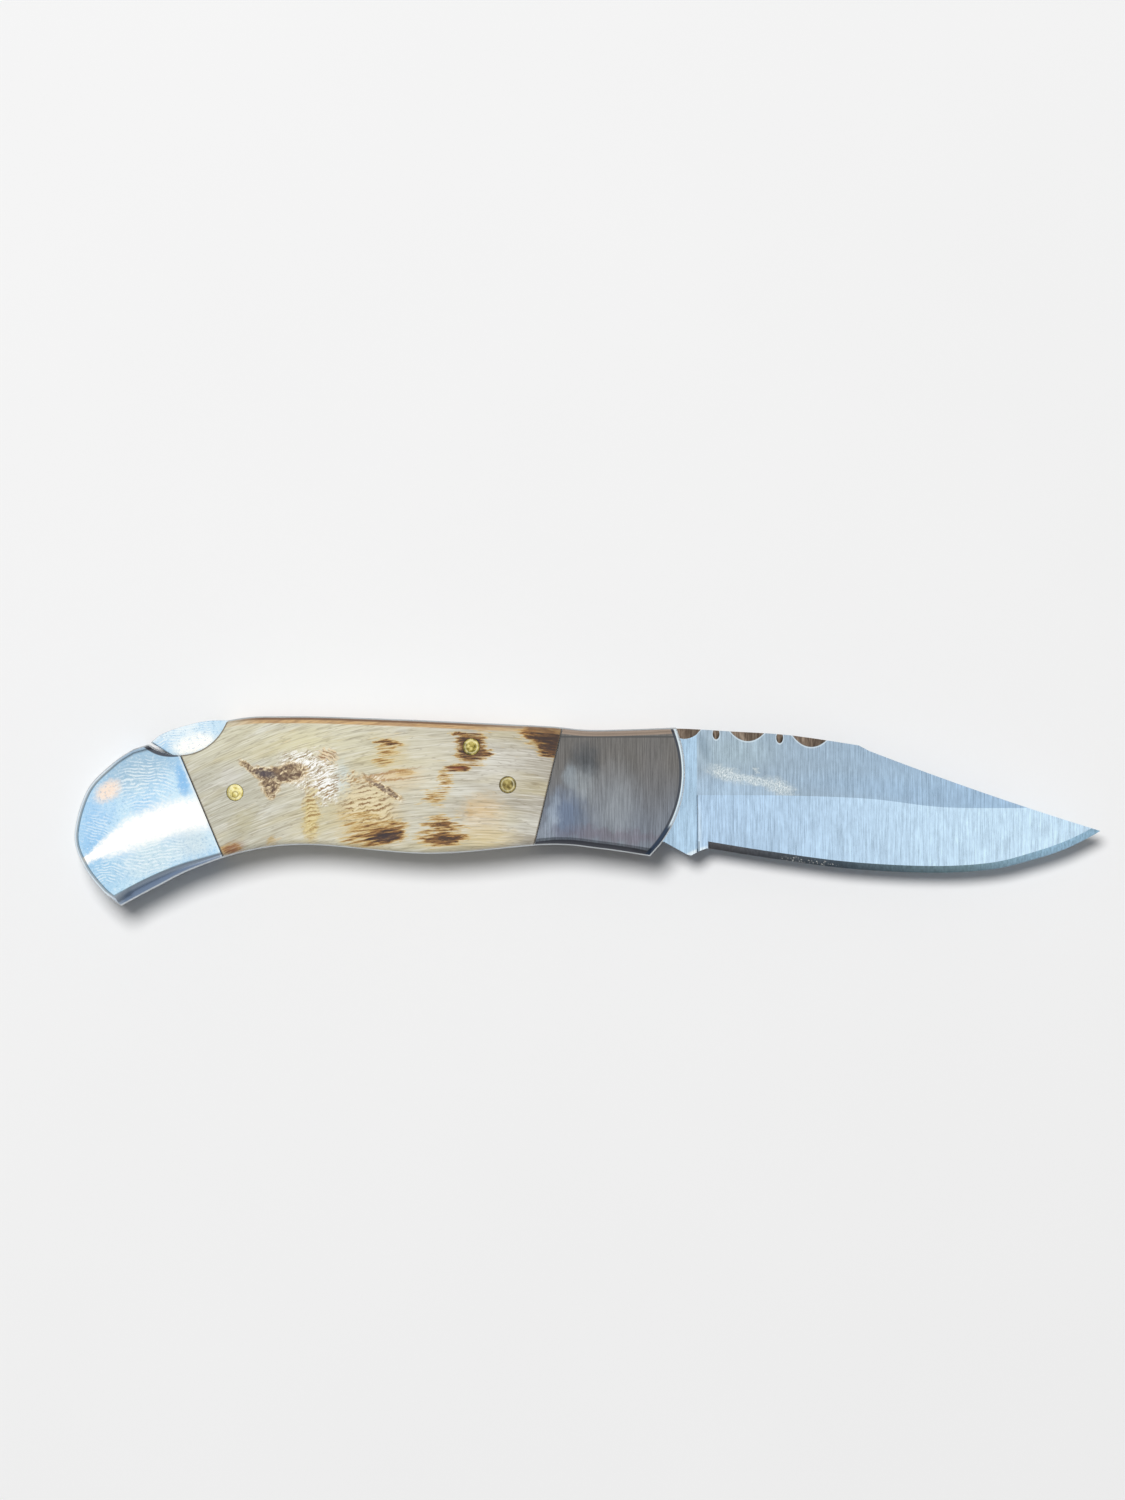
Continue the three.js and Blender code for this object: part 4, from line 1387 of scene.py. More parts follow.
@dataclass(frozen=True)
class Brass:
    """Peened, buffed brass of the pins, with its own dirt on each, painted highlight rings and a painted shadow."""

    name: str = "pin_brass"

    def material(self) -> Material:
        """Brass with dents from the hammer, darker dirt, painted highlight rings and a painted shadow."""
        paint = Paint(self.name)
        form = HandleForm()
        dents = paint.noise(paint.mm, 1.6, 3.0, 0.6)
        colour = paint.ramp(dents, (
            (0.3, srgb(184, 164, 88)), (0.46, srgb(228, 214, 136)), (0.62, srgb(248, 240, 186)),
        ))
        lock_pin = Mark(form.lock_pin, (1.3, 1.3), 0.0, 0.1, 0.9)
        olive = paint.ramp(dents, ((0.36, srgb(76, 70, 34)), (0.5, srgb(160, 144, 64)), (0.64, srgb(226, 212, 140))))
        colour = paint.mix(paint.patch(paint.mm, lock_pin), colour, olive)
        dull_pin = max(form.scale_pins, key=lambda place: place[0])
        dull = paint.ramp(dents, ((0.36, srgb(112, 98, 58)), (0.5, srgb(156, 140, 86)), (0.66, srgb(194, 180, 120))))
        colour = paint.mix(paint.patch(paint.mm, Mark(dull_pin, (1.3, 1.3), 0.0, 0.1)), colour, dull)
        # painted shadow: a dark crescent beside the dull pin
        shadow = Mark((dull_pin[0] + 0.85, dull_pin[1] + 0.25), (0.35, 0.5), 0.0, 0.5, 0.8)
        colour = paint.mix(paint.patch(paint.mm, shadow), colour, srgb(52, 46, 28))
        rear_pin = min(form.scale_pins, key=lambda place: place[0])
        swirl = paint.near(paint.away((rear_pin[0] + 0.05, rear_pin[1] - 0.3)), 0.42, 0.05, 0.1)
        colour = paint.mix(paint.times(swirl, 0.55), colour, srgb(120, 102, 40))
        for place in form.scale_pins:
            rim = paint.near(paint.away(place), form.pin_radius - 0.03, 0.03, 0.08)
            colour = paint.mix(paint.times(rim, 0.35), colour, srgb(150, 134, 86))
            # painted highlight: a pale ring inside each pin's edge
            shine = paint.near(paint.away(place), form.pin_radius - 0.3, 0.05, 0.1)
            colour = paint.mix(paint.times(shine, 0.4), colour, srgb(250, 244, 206))
        paint.bump(dents, 0.06)
        return paint.finish(1.0, 0.26, colour)


@dataclass(frozen=True)
class Crinkle:
    """An area that heat has drawn into glossy folds, brown in the hollows, with glints painted pale on the crests."""

    mark: Mark
    along: float
    pitch: float
    # pale is a painted glint on the crests of the folds
    pale: Colour = srgb(255, 253, 244)
    brown: Colour = srgb(132, 104, 74)
    ground: float = 0.45
    combed: float = 0.12


@dataclass(frozen=True)
class BurntBone:
    """Polished bone with dark grain, golden clouds, burns along the grain and wrinkled, seared spots.

    The strength of a burn is its heat: 1 chars the bone and 0.3 only turns it golden.
    """

    name: str
    burns: tuple[Mark, ...]
    seared: tuple[Mark, ...] = ()
    clouds: tuple[Mark, ...] = ()
    crinkles: tuple[Crinkle, ...] = ()
    chars: tuple[Mark, ...] = ()
    seed: tuple[float, float, float] = (0.0, 0.0, 0.0)

    def material(self) -> Material:
        """Bone whose grain bends from the butt towards the blade."""
        paint = Paint(self.name)
        off = paint.plus(paint.x, 22.0)
        bend = paint.times(paint.times(off, off), 0.0062)
        grain = paint.added(paint.vector(paint.x, paint.plus(paint.y, bend), paint.z), self.seed)
        lines = paint.streaks(grain, (0.2, 3.4, 1.0), 3.0, 0.6)
        streaks = paint.streaks(grain, (0.34, 2.9, 1.0), 3.0, 0.65, shift=(5.0, 8.0, 0.0))
        loose = paint.pushed(paint.mm, grain, (0.9, 1.8, 1.0), (2.0, 1.2))
        tight = paint.pushed(paint.mm, grain, (0.9, 2.4, 1.0), (1.5, 0.42))

        colour = self.base(paint, grain)
        for cloud in self.clouds:
            colour = paint.mix(paint.patch(loose, cloud), colour, cloud.colour)
        colour = self.grained(paint, grain, lines, colour)
        colour, folds = self.crinkled(paint, colour)
        colour = self.burnt(paint, tight, grain, colour)
        firm = paint.pushed(paint.mm, paint.mm, (1.5, 1.5, 1.0), (0.5, 0.42))
        colour = self.sear(paint, firm, colour)
        for char in self.chars:
            colour = paint.mix(paint.patch(firm, char), colour, char.colour)
        colour = self.rims(paint, streaks, colour)

        relief = paint.plus(paint.times(lines, 0.5), paint.noise(paint.mm, 0.45, 3.0))
        relief = paint.plus(relief, paint.times(folds, 0.8))
        paint.bump(relief, 0.04)
        rough = paint.step(lines, 0.3, 0.7, 0.3, 0.44)
        return paint.finish(0.0, rough, colour, Coat_Weight=0.2, Coat_Roughness=0.12, Specular_IOR_Level=0.35)

    def base(self, paint: Paint, grain: Socket) -> Socket:
        """Ground colour: greyish at both ends, milky and yellowish clouds between.

        Args:
            paint: The material.
            grain: Coordinates that follow the grain.

        Returns:
            The colour.
        """
        along = paint.math("DIVIDE", paint.plus(paint.x, 70.0), 60.0)
        wander = paint.times(paint.minus(paint.noise(grain, 0.12, 2.0), 0.5), 0.3)
        colour = paint.ramp(
            paint.plus(along, wander),
            (
                (0.02, srgb(186, 184, 170)), (0.18, srgb(192, 190, 173)), (0.34, srgb(204, 200, 180)),
                (0.5, srgb(212, 206, 180)), (0.7, srgb(202, 198, 180)), (0.96, srgb(176, 170, 156)),
            ),
        )
        upper = paint.times(paint.step(paint.y, 4.0, 10.0), paint.step(paint.x, -25.0, -42.0, 0.0, 0.7))
        colour = paint.mix(upper, colour, srgb(217, 213, 186))
        milk = paint.streaks(grain, (0.12, 0.45, 1.0), 3.0, 0.6)
        colour = paint.mix(paint.step(milk, 0.5, 0.7, 0.0, 0.6), colour, srgb(222, 222, 212))
        yellow = paint.streaks(grain, (0.09, 0.32, 1.0), 2.0, shift=(7.0, 3.0, 0.0))
        return paint.mix(paint.step(yellow, 0.5, 0.68, 0.0, 0.4), colour, srgb(204, 192, 146))

    def grained(self, paint: Paint, grain: Socket, lines: Socket, colour: Socket) -> Socket:
        """Draws the grain: grey lines with pale ones between them, and a few long dark hairs.

        Args:
            paint: The material.
            grain: Coordinates that follow the grain.
            lines: The pattern of the grain.
            colour: The colour so far.

        Returns:
            The colour with its grain.
        """
        where = paint.step(paint.noise(grain, 0.16, 2.0), 0.35, 0.6, 0.35, 1.0)
        colour = paint.mix(paint.times(where, paint.step(lines, 0.5, 0.7, 0.0, 0.36)), colour, srgb(150, 138, 114))
        colour = paint.mix(paint.times(where, paint.step(lines, 0.46, 0.3, 0.0, 0.3)), colour, srgb(238, 236, 226))
        hairs = paint.streaks(grain, (0.24, 5.4, 1.0), 2.0, shift=(3.0, 9.0, 0.0))
        colour = paint.mix(paint.step(hairs, 0.54, 0.7, 0.0, 0.38), colour, srgb(124, 108, 84))
        colour = paint.mix(paint.step(hairs, 0.47, 0.32, 0.0, 0.32), colour, srgb(246, 244, 236))
        cracks = paint.streaks(grain, (0.16, 1.5, 1.0), 2.0, shift=(1.0, 4.0, 0.0))
        return paint.mix(paint.near(cracks, 0.5, 0.005, 0.02), colour, paint.mix(0.26, colour, srgb(110, 92, 66)))

    def crinkled(self, paint: Paint, colour: Socket) -> tuple[Socket, Value]:
        """Draws the glossy, folded areas, with glints painted on the crests of the folds.

        Args:
            paint: The material.
            colour: The colour so far.

        Returns:
            The colour, and how high the folds stand.
        """
        bent = paint.pushed(paint.mm, paint.mm, (0.4, 0.4, 1.0), (0.9, 0.9))
        torn = paint.pushed(paint.mm, paint.mm, (1.4, 1.4, 1.0), (2.2, 1.8))
        height: Value = 0.0
        for area in self.crinkles:
            turned = paint.stretched(bent, (1.0, 1.0, 1.0), turn=-area.along)
            across = paint.parts(turned)[1]
            rough = paint.streaks(turned, (0.3 / area.pitch, 1.2 / area.pitch, 1.0), 3.0, 0.7)
            phase = paint.plus(across, paint.times(rough, 1.3 * area.pitch))
            wave = paint.math("SINE", paint.times(phase, math.tau / area.pitch))
            folds = paint.plus(rough, paint.times(wave, area.combed))
            mask = paint.patch(torn, area.mark)
            colour = paint.mix(paint.times(mask, area.ground), colour, area.mark.colour)
            # painted glints: pale on the crests of the folds
            colour = paint.mix(paint.times(mask, paint.step(folds, 0.5, 0.57)), colour, area.pale)
            colour = paint.mix(paint.times(mask, paint.step(folds, 0.46, 0.38, 0.0, 0.95)), colour, area.brown)
            height = paint.plus(height, paint.times(mask, folds))
        return colour, height

    def burnt(self, paint: Paint, tight: Socket, streaks: Socket, colour: Socket) -> Socket:
        """Burns the bone, from golden through brown to char, in streaks along the grain.

        Args:
            paint: The material.
            tight: Coordinates with ragged edges.
            streaks: Coordinates that follow the grain, for the heat to run along.
            colour: The colour so far.

        Returns:
            The burnt colour.
        """
        heat: Value = -1.0
        for burn in self.burns:
            heat = paint.math("MAXIMUM", heat, paint.warmth(tight, burn))
        hairs = paint.streaks(streaks, (0.4, 5.0, 1.0), 3.0, 0.7)
        tongues = paint.streaks(streaks, (0.26, 2.6, 1.0), 2.0, shift=(5.0, 8.0, 0.0))
        for pattern, share in ((hairs, 0.5), (tongues, 0.3)):
            heat = paint.plus(heat, paint.step(pattern, 0.3, 0.7, -share, share))
        glow = paint.streaks(streaks, (0.5, 4.4, 1.0), 3.0, 0.7, shift=(2.0, 6.0, 0.0))
        char = paint.ramp(glow, (
            (0.42, srgb(46, 36, 34)), (0.53, srgb(74, 53, 40)), (0.61, srgb(130, 90, 52)), (0.71, srgb(204, 162, 94)),
        ))
        colour = paint.mix(paint.step(heat, -0.2, 0.24, 0.0, 0.7), colour, srgb(214, 188, 128))
        colour = paint.mix(paint.step(heat, 0.14, 0.5, 0.0, 0.85), colour, srgb(178, 138, 76))
        colour = paint.mix(paint.step(heat, 0.4, 0.76, 0.0, 0.9), colour, srgb(124, 84, 48))
        return paint.mix(paint.step(heat, 0.68, 1.05, 0.0, 0.95), colour, char)

    def sear(self, paint: Paint, firm: Socket, colour: Socket) -> Socket:
        """Lays the brown, wrinkled spots that a hot iron leaves, with golden rims and painted glints.

        Args:
            paint: The material.
            firm: Coordinates with slightly ragged edges.
            colour: The colour so far.

        Returns:
            The colour with the spots.
        """
        bent = paint.pushed(paint.mm, paint.mm, (0.8, 0.8, 1.0), (0.8, 0.8))
        wrinkles = paint.streaks(bent, (1.5, 2.7, 1.0), 4.0, 0.7, turn=-25.0)
        # the palest stop is a painted highlight on the wrinkles
        skin = paint.ramp(wrinkles, (
            (0.35, srgb(74, 60, 54)), (0.45, srgb(116, 94, 76)),
            (0.53, srgb(158, 136, 108)), (0.61, srgb(238, 220, 182)),
        ))
        inner: Value = 0.0
        outer: Value = 0.0
        for mark in self.seared:
            reach = paint.reach(firm, mark)
            inner = paint.math("MAXIMUM", inner, paint.step(reach, 1.15, 0.85, 0.0, mark.strength))
            outer = paint.math("MAXIMUM", outer, paint.step(reach, 1.5, 1.05, 0.0, 0.75))
        # golden rim, its palest stop a painted glint
        rim = paint.ramp(wrinkles, ((0.4, srgb(150, 114, 72)), (0.5, srgb(208, 178, 124)), (0.58, srgb(252, 242, 216))))
        colour = paint.mix(outer, colour, rim)
        return paint.mix(inner, colour, skin)

    def rims(self, paint: Paint, streaks: Socket, colour: Socket) -> Socket:
        """Draws the spine edge golden-brown, partly a painted reflection, the belly edge as a painted highlight, and
        dirt at joints and notch.

        Args:
            paint: The material.
            streaks: Pattern of the grain in the edge.
            colour: The colour so far.

        Returns:
            The colour with its edges.
        """
        form = HandleForm()
        spine = paint.step(paint.y, 8.0, 9.5)
        length = paint.times(paint.step(paint.x, -58.0, -52.0, 0.25, 1.0), paint.step(paint.x, -12.0, -24.0, 0.4, 1.0))
        # partly painted reflection: golden-brown on the spine-side rounding, darker deeper in it
        gold_spine_sheen = paint.mix(paint.step(streaks, 0.35, 0.65), srgb(210, 170, 116), srgb(166, 122, 74))
        colour = paint.mix(paint.times(spine, length, paint.worked(0.005, 0.08, 0.85)), colour, gold_spine_sheen)
        colour = paint.mix(paint.times(spine, length, paint.worked(0.3, 0.5, 0.9)), colour, srgb(104, 70, 40))
        # painted highlight: the belly-side rounding painted near-white
        belly = paint.times(paint.step(paint.y, 0.0, -2.5), paint.worked(0.5, 1.1, 0.85))
        colour = paint.mix(belly, colour, srgb(250, 248, 240))
        dirt: Value = 0.0
        for joint in (form.front_joint, form.rear_joint):
            gap = paint.math("ABSOLUTE", paint.minus(paint.x, paint.at_joint(joint)))
            dirt = paint.math("MAXIMUM", dirt, paint.step(gap, 0.3, 0.12, 0.0, 0.8))
        lip = paint.minus(paint.away(form.notch_centre), form.notch_radius)
        dirt = paint.math("MAXIMUM", dirt, paint.step(lip, 0.26, 0.1, 0.0, 0.8))
        return paint.mix(dirt, colour, srgb(86, 72, 58))


# The bone of the top side, as the photograph shows it
TOP_CLOUDS = stains_and_painted_light(
    (-46.2, 10.2, 3.8, 1.6, 0.0, 0.8, 0.6, 223, 216, 176),
    (-36.8, -1.0, 4.0, 4.0, -30.0, 0.7, 0.6, 212, 186, 130),
    (-20.4, -0.2, 2.6, 2.4, 0.0, 0.8, 0.85, 218, 192, 150),
    (-22.3, -0.2, 0.5, 1.6, 0.0, 0.8, 0.6, 206, 176, 128),
    (-19.4, -3.6, 3.4, 1.6, 0.0, 0.8, 0.7, 222, 204, 158),
    (-18.6, 7.0, 4.6, 3.0, 0.0, 0.8, 0.6, 226, 224, 214),
    (-27.6, 6.6, 3.4, 4.6, -20.0, 0.8, 0.5, 224, 218, 194),
    (-54.9, -1.2, 2.0, 1.4, 35.0, 0.8, 0.65, 182, 174, 136),
    (-51.0, -4.1, 0.8, 0.5, 20.0, 0.8, 0.7, 196, 164, 98),
    (-40.8, 4.6, 1.1, 2.4, 0.0, 0.7, 0.75, 206, 220, 220),
    (-57.0, 5.4, 1.6, 1.4, 0.0, 0.8, 0.6, 214, 212, 204),
    (-45.4, -1.2, 1.0, 3.0, 0.0, 0.6, 0.7, 208, 184, 112),
    (-33.4, 8.8, 1.9, 2.4, 0.0, 0.7, 0.4, 218, 194, 138),
    (-32.6, 4.6, 3.2, 1.4, 0.0, 0.7, 0.45, 222, 198, 150),
    (-23.0, -1.5, 7.0, 0.8, 4.0, 0.9, 0.4, 228, 228, 218),
)
TOP_CRINKLES = (
    Crinkle(
        Mark((-45.6, 6.0), (4.2, 2.8), -18.0, 0.35, 1.0, srgb(216, 206, 182)),
        26.0, 0.36, srgb(255, 255, 252), srgb(128, 100, 74), 0.6, 0.06,
    ),
    Crinkle(
        Mark((-43.2, 3.8), (1.7, 2.4), 12.0, 0.4, 1.0, srgb(214, 206, 188)),
        26.0, 0.36, srgb(255, 255, 252), srgb(150, 118, 84), 0.4, 0.05,
    ),
    Crinkle(
        Mark((-43.0, 8.2), (1.3, 0.9), 0.0, 0.5, 0.9, srgb(206, 176, 130)),
        -30.0, 0.5, srgb(236, 214, 176), srgb(146, 100, 60),
    ),
    Crinkle(
        Mark((-45.3, 0.2), (1.0, 3.8), 0.0, 0.5, 0.85, srgb(210, 186, 124)),
        14.0, 0.6, srgb(226, 212, 164), srgb(152, 116, 66),
    ),
    Crinkle(
        Mark((-37.2, 0.9), (3.8, 3.4), -25.0, 0.45, 0.95, srgb(214, 194, 148)),
        16.0, 0.6, srgb(228, 214, 178), srgb(138, 104, 66), 0.5, 0.1,
    ),
    Crinkle(
        Mark((-39.6, 4.9), (1.1, 0.9), 0.0, 0.5, 0.8, srgb(214, 190, 140)),
        30.0, 0.5, srgb(240, 226, 190), srgb(160, 118, 66),
    ),
    Crinkle(
        Mark((-35.6, 5.0), (0.9, 0.5), 0.0, 0.4, 0.9, srgb(206, 190, 180)),
        40.0, 0.4,
    ),
)
TOP_BURNS = burns(
    (-34.3, 10.2, 1.9, 0.5, -6.0, 0.72),
    (-34.4, 9.1, 1.6, 1.0, 0.0, 0.3),
    (-35.0, 7.6, 1.5, 0.9, 0.0, 0.28),
    (-31.6, 5.9, 1.6, 0.6, 6.0, 0.3),
    (-36.9, -2.2, 3.8, 2.1, -14.0, 0.34),
    (-37.6, -3.8, 3.0, 1.2, 4.0, 0.5),
    (-35.2, -3.2, 3.3, 1.35, 8.0, 0.85),
    (-34.4, -3.5, 2.5, 1.0, 6.0, 1.3),
    (-33.2, -2.2, 1.9, 0.9, 12.0, 0.6),
    (-26.4, -2.9, 3.4, 2.2, 0.0, 0.36),
    (-26.3, -2.2, 1.7, 1.1, 0.0, 0.95),
    (-26.2, -3.9, 3.2, 1.0, 2.0, 0.95),
    (-25.0, -3.9, 1.9, 0.7, 4.0, 1.15),
    (-24.0, 6.45, 1.8, 0.5, 3.0, 0.9),
    (-22.4, 6.9, 2.2, 0.4, 4.0, 0.4),
    (-25.8, 4.7, 1.0, 1.4, 20.0, 0.3),
    (-27.3, 2.2, 2.1, 1.2, 10.0, 0.28),
    (-22.0, 9.5, 1.8, 1.95, 0.0, 1.2, True),
    (-23.6, 11.4, 1.4, 0.3, 0.0, 0.9),
    (-20.3, 8.6, 1.3, 0.6, 0.0, 1.0),
    (-11.4, 11.0, 3.2, 1.6, -16.0, 1.25),
    (-10.3, 9.8, 2.2, 1.6, -20.0, 1.5),
    (-57.0, -5.3, 1.5, 0.8, 20.0, 0.55),
)
TOP_SEARED = burns(
    (-54.1, 6.3, 1.6, 0.4, -36.0, 0.9, True),
    (-52.4, 5.6, 1.5, 0.8, -24.0, 0.95),
    (-50.6, 5.4, 2.2, 1.05, 0.0, 0.95),
    (-48.2, 5.8, 2.0, 1.25, 6.0, 0.95),
    (-51.3, 4.2, 1.2, 1.5, 10.0, 0.95),
    (-51.2, 2.9, 0.6, 0.9, 0.0, 0.8),
    (-35.1, 3.65, 2.8, 0.42, -32.0, 0.95, True),
)
TOP_CHARS = stains_and_painted_light(
    (-33.6, 5.3, 3.8, 0.6, 8.0, 0.6, 0.5, 224, 196, 148),
    (-34.0, 5.75, 3.9, 0.16, 10.0, 0.7, 0.75, 164, 118, 68),
    (-33.4, 4.75, 3.3, 0.14, 5.0, 0.7, 0.7, 172, 126, 74),
    (-51.9, 5.6, 1.6, 0.5, -10.0, 0.5, 0.75, 72, 66, 76),
    (-48.6, 5.3, 1.6, 0.4, 10.0, 0.5, 0.5, 84, 64, 54),
    (-34.4, -3.6, 1.9, 0.5, 6.0, 0.6, 0.7, 50, 42, 48),
    (-35.1, 3.6, 2.4, 0.2, -32.0, 0.5, 0.5, 150, 134, 120),
    (-24.2, 6.4, 1.3, 0.22, 3.0, 0.6, 0.5, 150, 80, 50),
    (-56.8, -5.3, 1.5, 0.8, 20.0, 0.8, 0.75, 146, 104, 78),
    (-9.8, 10.6, 2.5, 2.0, -20.0, 0.8, 0.74, 52, 38, 34),
    (-22.0, 9.4, 1.6, 1.8, 0.0, 0.8, 0.5, 76, 54, 44),
)
# The bone of the other side, of the same make
BOTTOM_CLOUDS = stains_and_painted_light(
    (-50.0, 1.5, 4.0, 2.6, 25.0, 0.7, 0.5, 206, 178, 122),
    (-28.0, 5.5, 5.0, 2.6, -20.0, 0.7, 0.5, 206, 178, 122),
    (-16.0, -1.0, 3.0, 2.0, 0.0, 0.7, 0.7, 204, 172, 126),
)
BOTTOM_CRINKLES = (
    Crinkle(
        Mark((-49.0, 2.0), (3.8, 2.2), 25.0, 0.3, 1.0, srgb(214, 200, 164)),
        -30.0, 0.5,
    ),
    Crinkle(
        Mark((-27.5, 5.4), (4.2, 2.0), -20.0, 0.4, 0.9, srgb(216, 198, 150)),
        14.0, 0.6, srgb(240, 230, 200), srgb(144, 106, 64),
    ),
)
BOTTOM_BURNS = burns(
    (-55.0, 8.5, 2.2, 0.9, -10.0, 0.8),
    (-42.0, -2.2, 3.2, 1.0, 12.0, 1.0),
    (-39.5, -0.6, 2.2, 0.9, 10.0, 0.4),
    (-38.5, 7.4, 2.6, 0.45, 8.0, 0.6),
    (-30.4, -2.6, 2.2, 0.8, 0.0, 0.72),
    (-29.0, 3.4, 2.6, 1.2, 8.0, 0.2),
    (-22.2, 9.7, 1.6, 1.5, 0.0, 1.1, True),
    (-13.5, -2.4, 2.4, 1.2, 0.0, 0.95),
)
BOTTOM_SEARED = burns(
    (-24.6, 1.6, 2.8, 0.5, 28.0, 0.9),
    (-46.0, 7.6, 2.2, 1.1, -12.0, 0.9),
)


# Sub-assemblies


@dataclass
class Assembly:
    """What every sub-assembly is built from: the form of the handle and its layers."""

    form: HandleForm = field(default_factory=HandleForm)
    layers: Layers = field(default_factory=Layers)

    def between(self, name: str, outlines: Sequence[Sequence[Point]], finish: Material) -> Thing:
        """A plate as thick as the blade, between the liners."""
        middle, half = self.layers.middle, self.layers.blade / 2
        return plate(name, outlines, middle - half, middle + half, finish)


@dataclass
class Lockwork(Assembly):
    """What the blade and the lock bar agree on: the tang, its notch and the hook that falls into it."""

    shoulder_x: float = 1.3
    shoulder_gap: float = 0.4
    tang_radius: float = 5.5
    hook_width: float = 2.4
    kick_x: float = 9.9


@dataclass
class Handle(Assembly):
    """Scales, bolsters, liners and the block at the butt."""

    rounding_steps: int = 10
    bone_edge: float = 0.07
    front_edge: float = 0.09
    rear_edge: float = 0.16
    butt_block: float = 9.0
    tip_sweep: float = 71.0
    heel_height: float = 2.8
    heel_depth: float = 3.4
    heel_length: float = 4.9
    seat_fit: float = 0.1
    horn_from_butt: float = 10.3
    butt_pin_radius: float = 1.0
    pivot_pin_radius: float = 1.6

    def skin(self, name: str, side: Side) -> Solid:
        """Makes the whole outer layer of one side, with its rounded outer edge.

        Args:
            name: Name of the piece that it becomes.
            side: Top or bottom.

        Returns:
            The layer, uncut.
        """
        inner, outer = self.layers.skin(side)
        outline = self.form.outline()
        out, proud = side.value, self.form.liner_proud
        middles = [
            ((a[0] + b[0]) / 2, (a[1] + b[1]) / 2) for a, b in zip(outline, [*outline[1:], outline[0]])
        ]
        edges = [self.form.edge_at(*middle) for middle in middles]
        reach = evened([edge[0] for edge in edges], outline)
        flat = evened([edge[1] for edge in edges], outline)

        def ring(share: float, beyond: float = 0.0) -> list[tuple[float, float, float]]:
            """One ring of the rounded edge, 0 at its foot and 1 at the flat face."""
            angle = share * math.pi / 2
            inwards = [(1 - f) * (1 - math.cos(angle)) + f * share for f in flat]
            upwards = [(1 - f) * (1 - math.sin(angle)) + f * (1 - share) for f in flat]
            points = inset(outline, [proud + r * way + beyond for r, way in zip(reach, inwards)])
            drops = [r * way for r, way in zip(reach, upwards)]
            heights = [outer - out * (drops[i - 1] + drops[i]) / 2 for i in range(len(outline))]
            return [(x, y, z) for (x, y), z in zip(points, heights)]

        foot = [(x, y) for x, y, _ in ring(0.0)]
        rings = [[(x, y, inner) for x, y in foot]]
        rings += [ring(share) for share in spread(0, 1, self.rounding_steps)]
        rings.append(ring(1.0, 0.04))
        return Solid(name).rings(rings)

    def notch(self) -> Thing:
        """The round bar that cuts the thumb notch."""
        return bar("notch", self.form.notch_centre, self.form.notch_radius, -2, self.layers.total + 2, 160)

    def scale(self, side: Side, finish: Material) -> None:
        """Builds a bone scale with its pin holes.

        Args:
            side: Top or bottom.
            finish: Its bone.
        """
        name = f"scale_{side.name.lower()}"
        half = self.form.joint_gap / 2
        solid = self.skin(f"{name}_bone", side)
        solid.keep_side(self.form.rear_joint, half, True).keep_side(self.form.front_joint, -half, False)
        holes = [
            bar("hole", centre, self.form.pin_radius + self.form.pin_fit, -2, self.layers.total + 2, 64)
            for centre in self.form.scale_pins
        ]
        made = cut(solid.finished(), [self.notch(), *holes])
        made.data.materials.append(finish)
        settle(smoothed(broken_edges(made, self.bone_edge)), Body.HANDLE, Slot.BONE, name)

    def bolster(self, front: bool, side: Side, finish: Material) -> None:
        """Builds one bolster.

        Args:
            front: Whether it is the one at the blade.
            side: Top or bottom.
            finish: Its steel.
        """
        name = f"{'front' if front else 'rear'}_bolster_{side.name.lower()}"
        half = self.form.joint_gap / 2
        joint = self.form.front_joint if front else self.form.rear_joint
        solid = self.skin(f"{name}_steel", side).keep_side(joint, half if front else -half, front)
        made = solid.finished() if front else cut(solid.finished(), [self.notch()])
        made.data.materials.append(finish)
        edge = self.front_edge if front else self.rear_edge
        slot = Slot.BRUSHED if front else Slot.POLISHED
        settle(smoothed(broken_edges(made, edge)), Body.HANDLE, slot, name)

    def notched_outline(self) -> list[Point]:
        """The handle's outline with the thumb notch cut out of its spine.

        Returns:
            The closed outline.
        """
        centre, radius = self.form.notch_centre, self.form.notch_radius
        points = self.form.outline()
        inside = [math.dist(p, centre) < radius for p in points]
        first = next(i for i in range(len(points)) if inside[i] and not inside[i - 1])
        count = sum(inside)
        before, after = points[first - 1], points[(first + count) % len(points)]

        def crossing(outer: Point, inner: Point) -> float:
            """Angle at which the outline crosses the notch's circle."""
            low, high = Vector(outer), Vector(inner)
            for _ in range(40):
                middle = (low + high) / 2
                if (middle - Vector(centre)).length < radius:
                    high = middle
                else:
                    low = middle
            return math.atan2(high.y - centre[1], high.x - centre[0])

        start = crossing(before, points[first])
        end = crossing(after, points[first + count - 1])
        return points[:first] + arc(centre, radius, start, end, 60) + points[first + count:]

    def circle(self, centre: Point, radius: float) -> list[Point]:
        """Outline of a hole for a pin."""
        return arc(centre, radius + self.form.pin_fit, 0, math.tau, 40)[:-1]

    @property
    def butt_pins(self) -> list[Point]:
        """Centres of the two hidden pins at the butt."""
        upper = (self.form.butt_x(self.butt_block * 0.67), self.heel_height)
        return [upper, (self.form.butt_x(self.butt_block * 0.58), -self.form.butt_drop * 0.58)]

    def liner(self, side: Side, finish: Material) -> None:
        """Builds one liner plate.

        Args:
            side: Top or bottom.
            finish: Its steel.
        """
        name = f"liner_{side.name.lower()}"
        inner = self.layers.mirrored(side, self.layers.middle + self.layers.slot / 2)
        outer = self.layers.skin(side)[0]
        holes = [self.circle(p, self.form.pin_radius) for p in self.form.scale_pins]
        holes += [self.circle(p, self.butt_pin_radius) for p in self.butt_pins]
        holes.append(self.circle((0.0, 0.0), self.pivot_pin_radius))
        outlines = [self.notched_outline(), *holes]
        made = plate(f"{name}_steel", outlines, min(inner, outer), max(inner, outer), finish)
        settle(smoothed(broken_edges(made, 0.05)), Body.HANDLE, Slot.LINER, name)

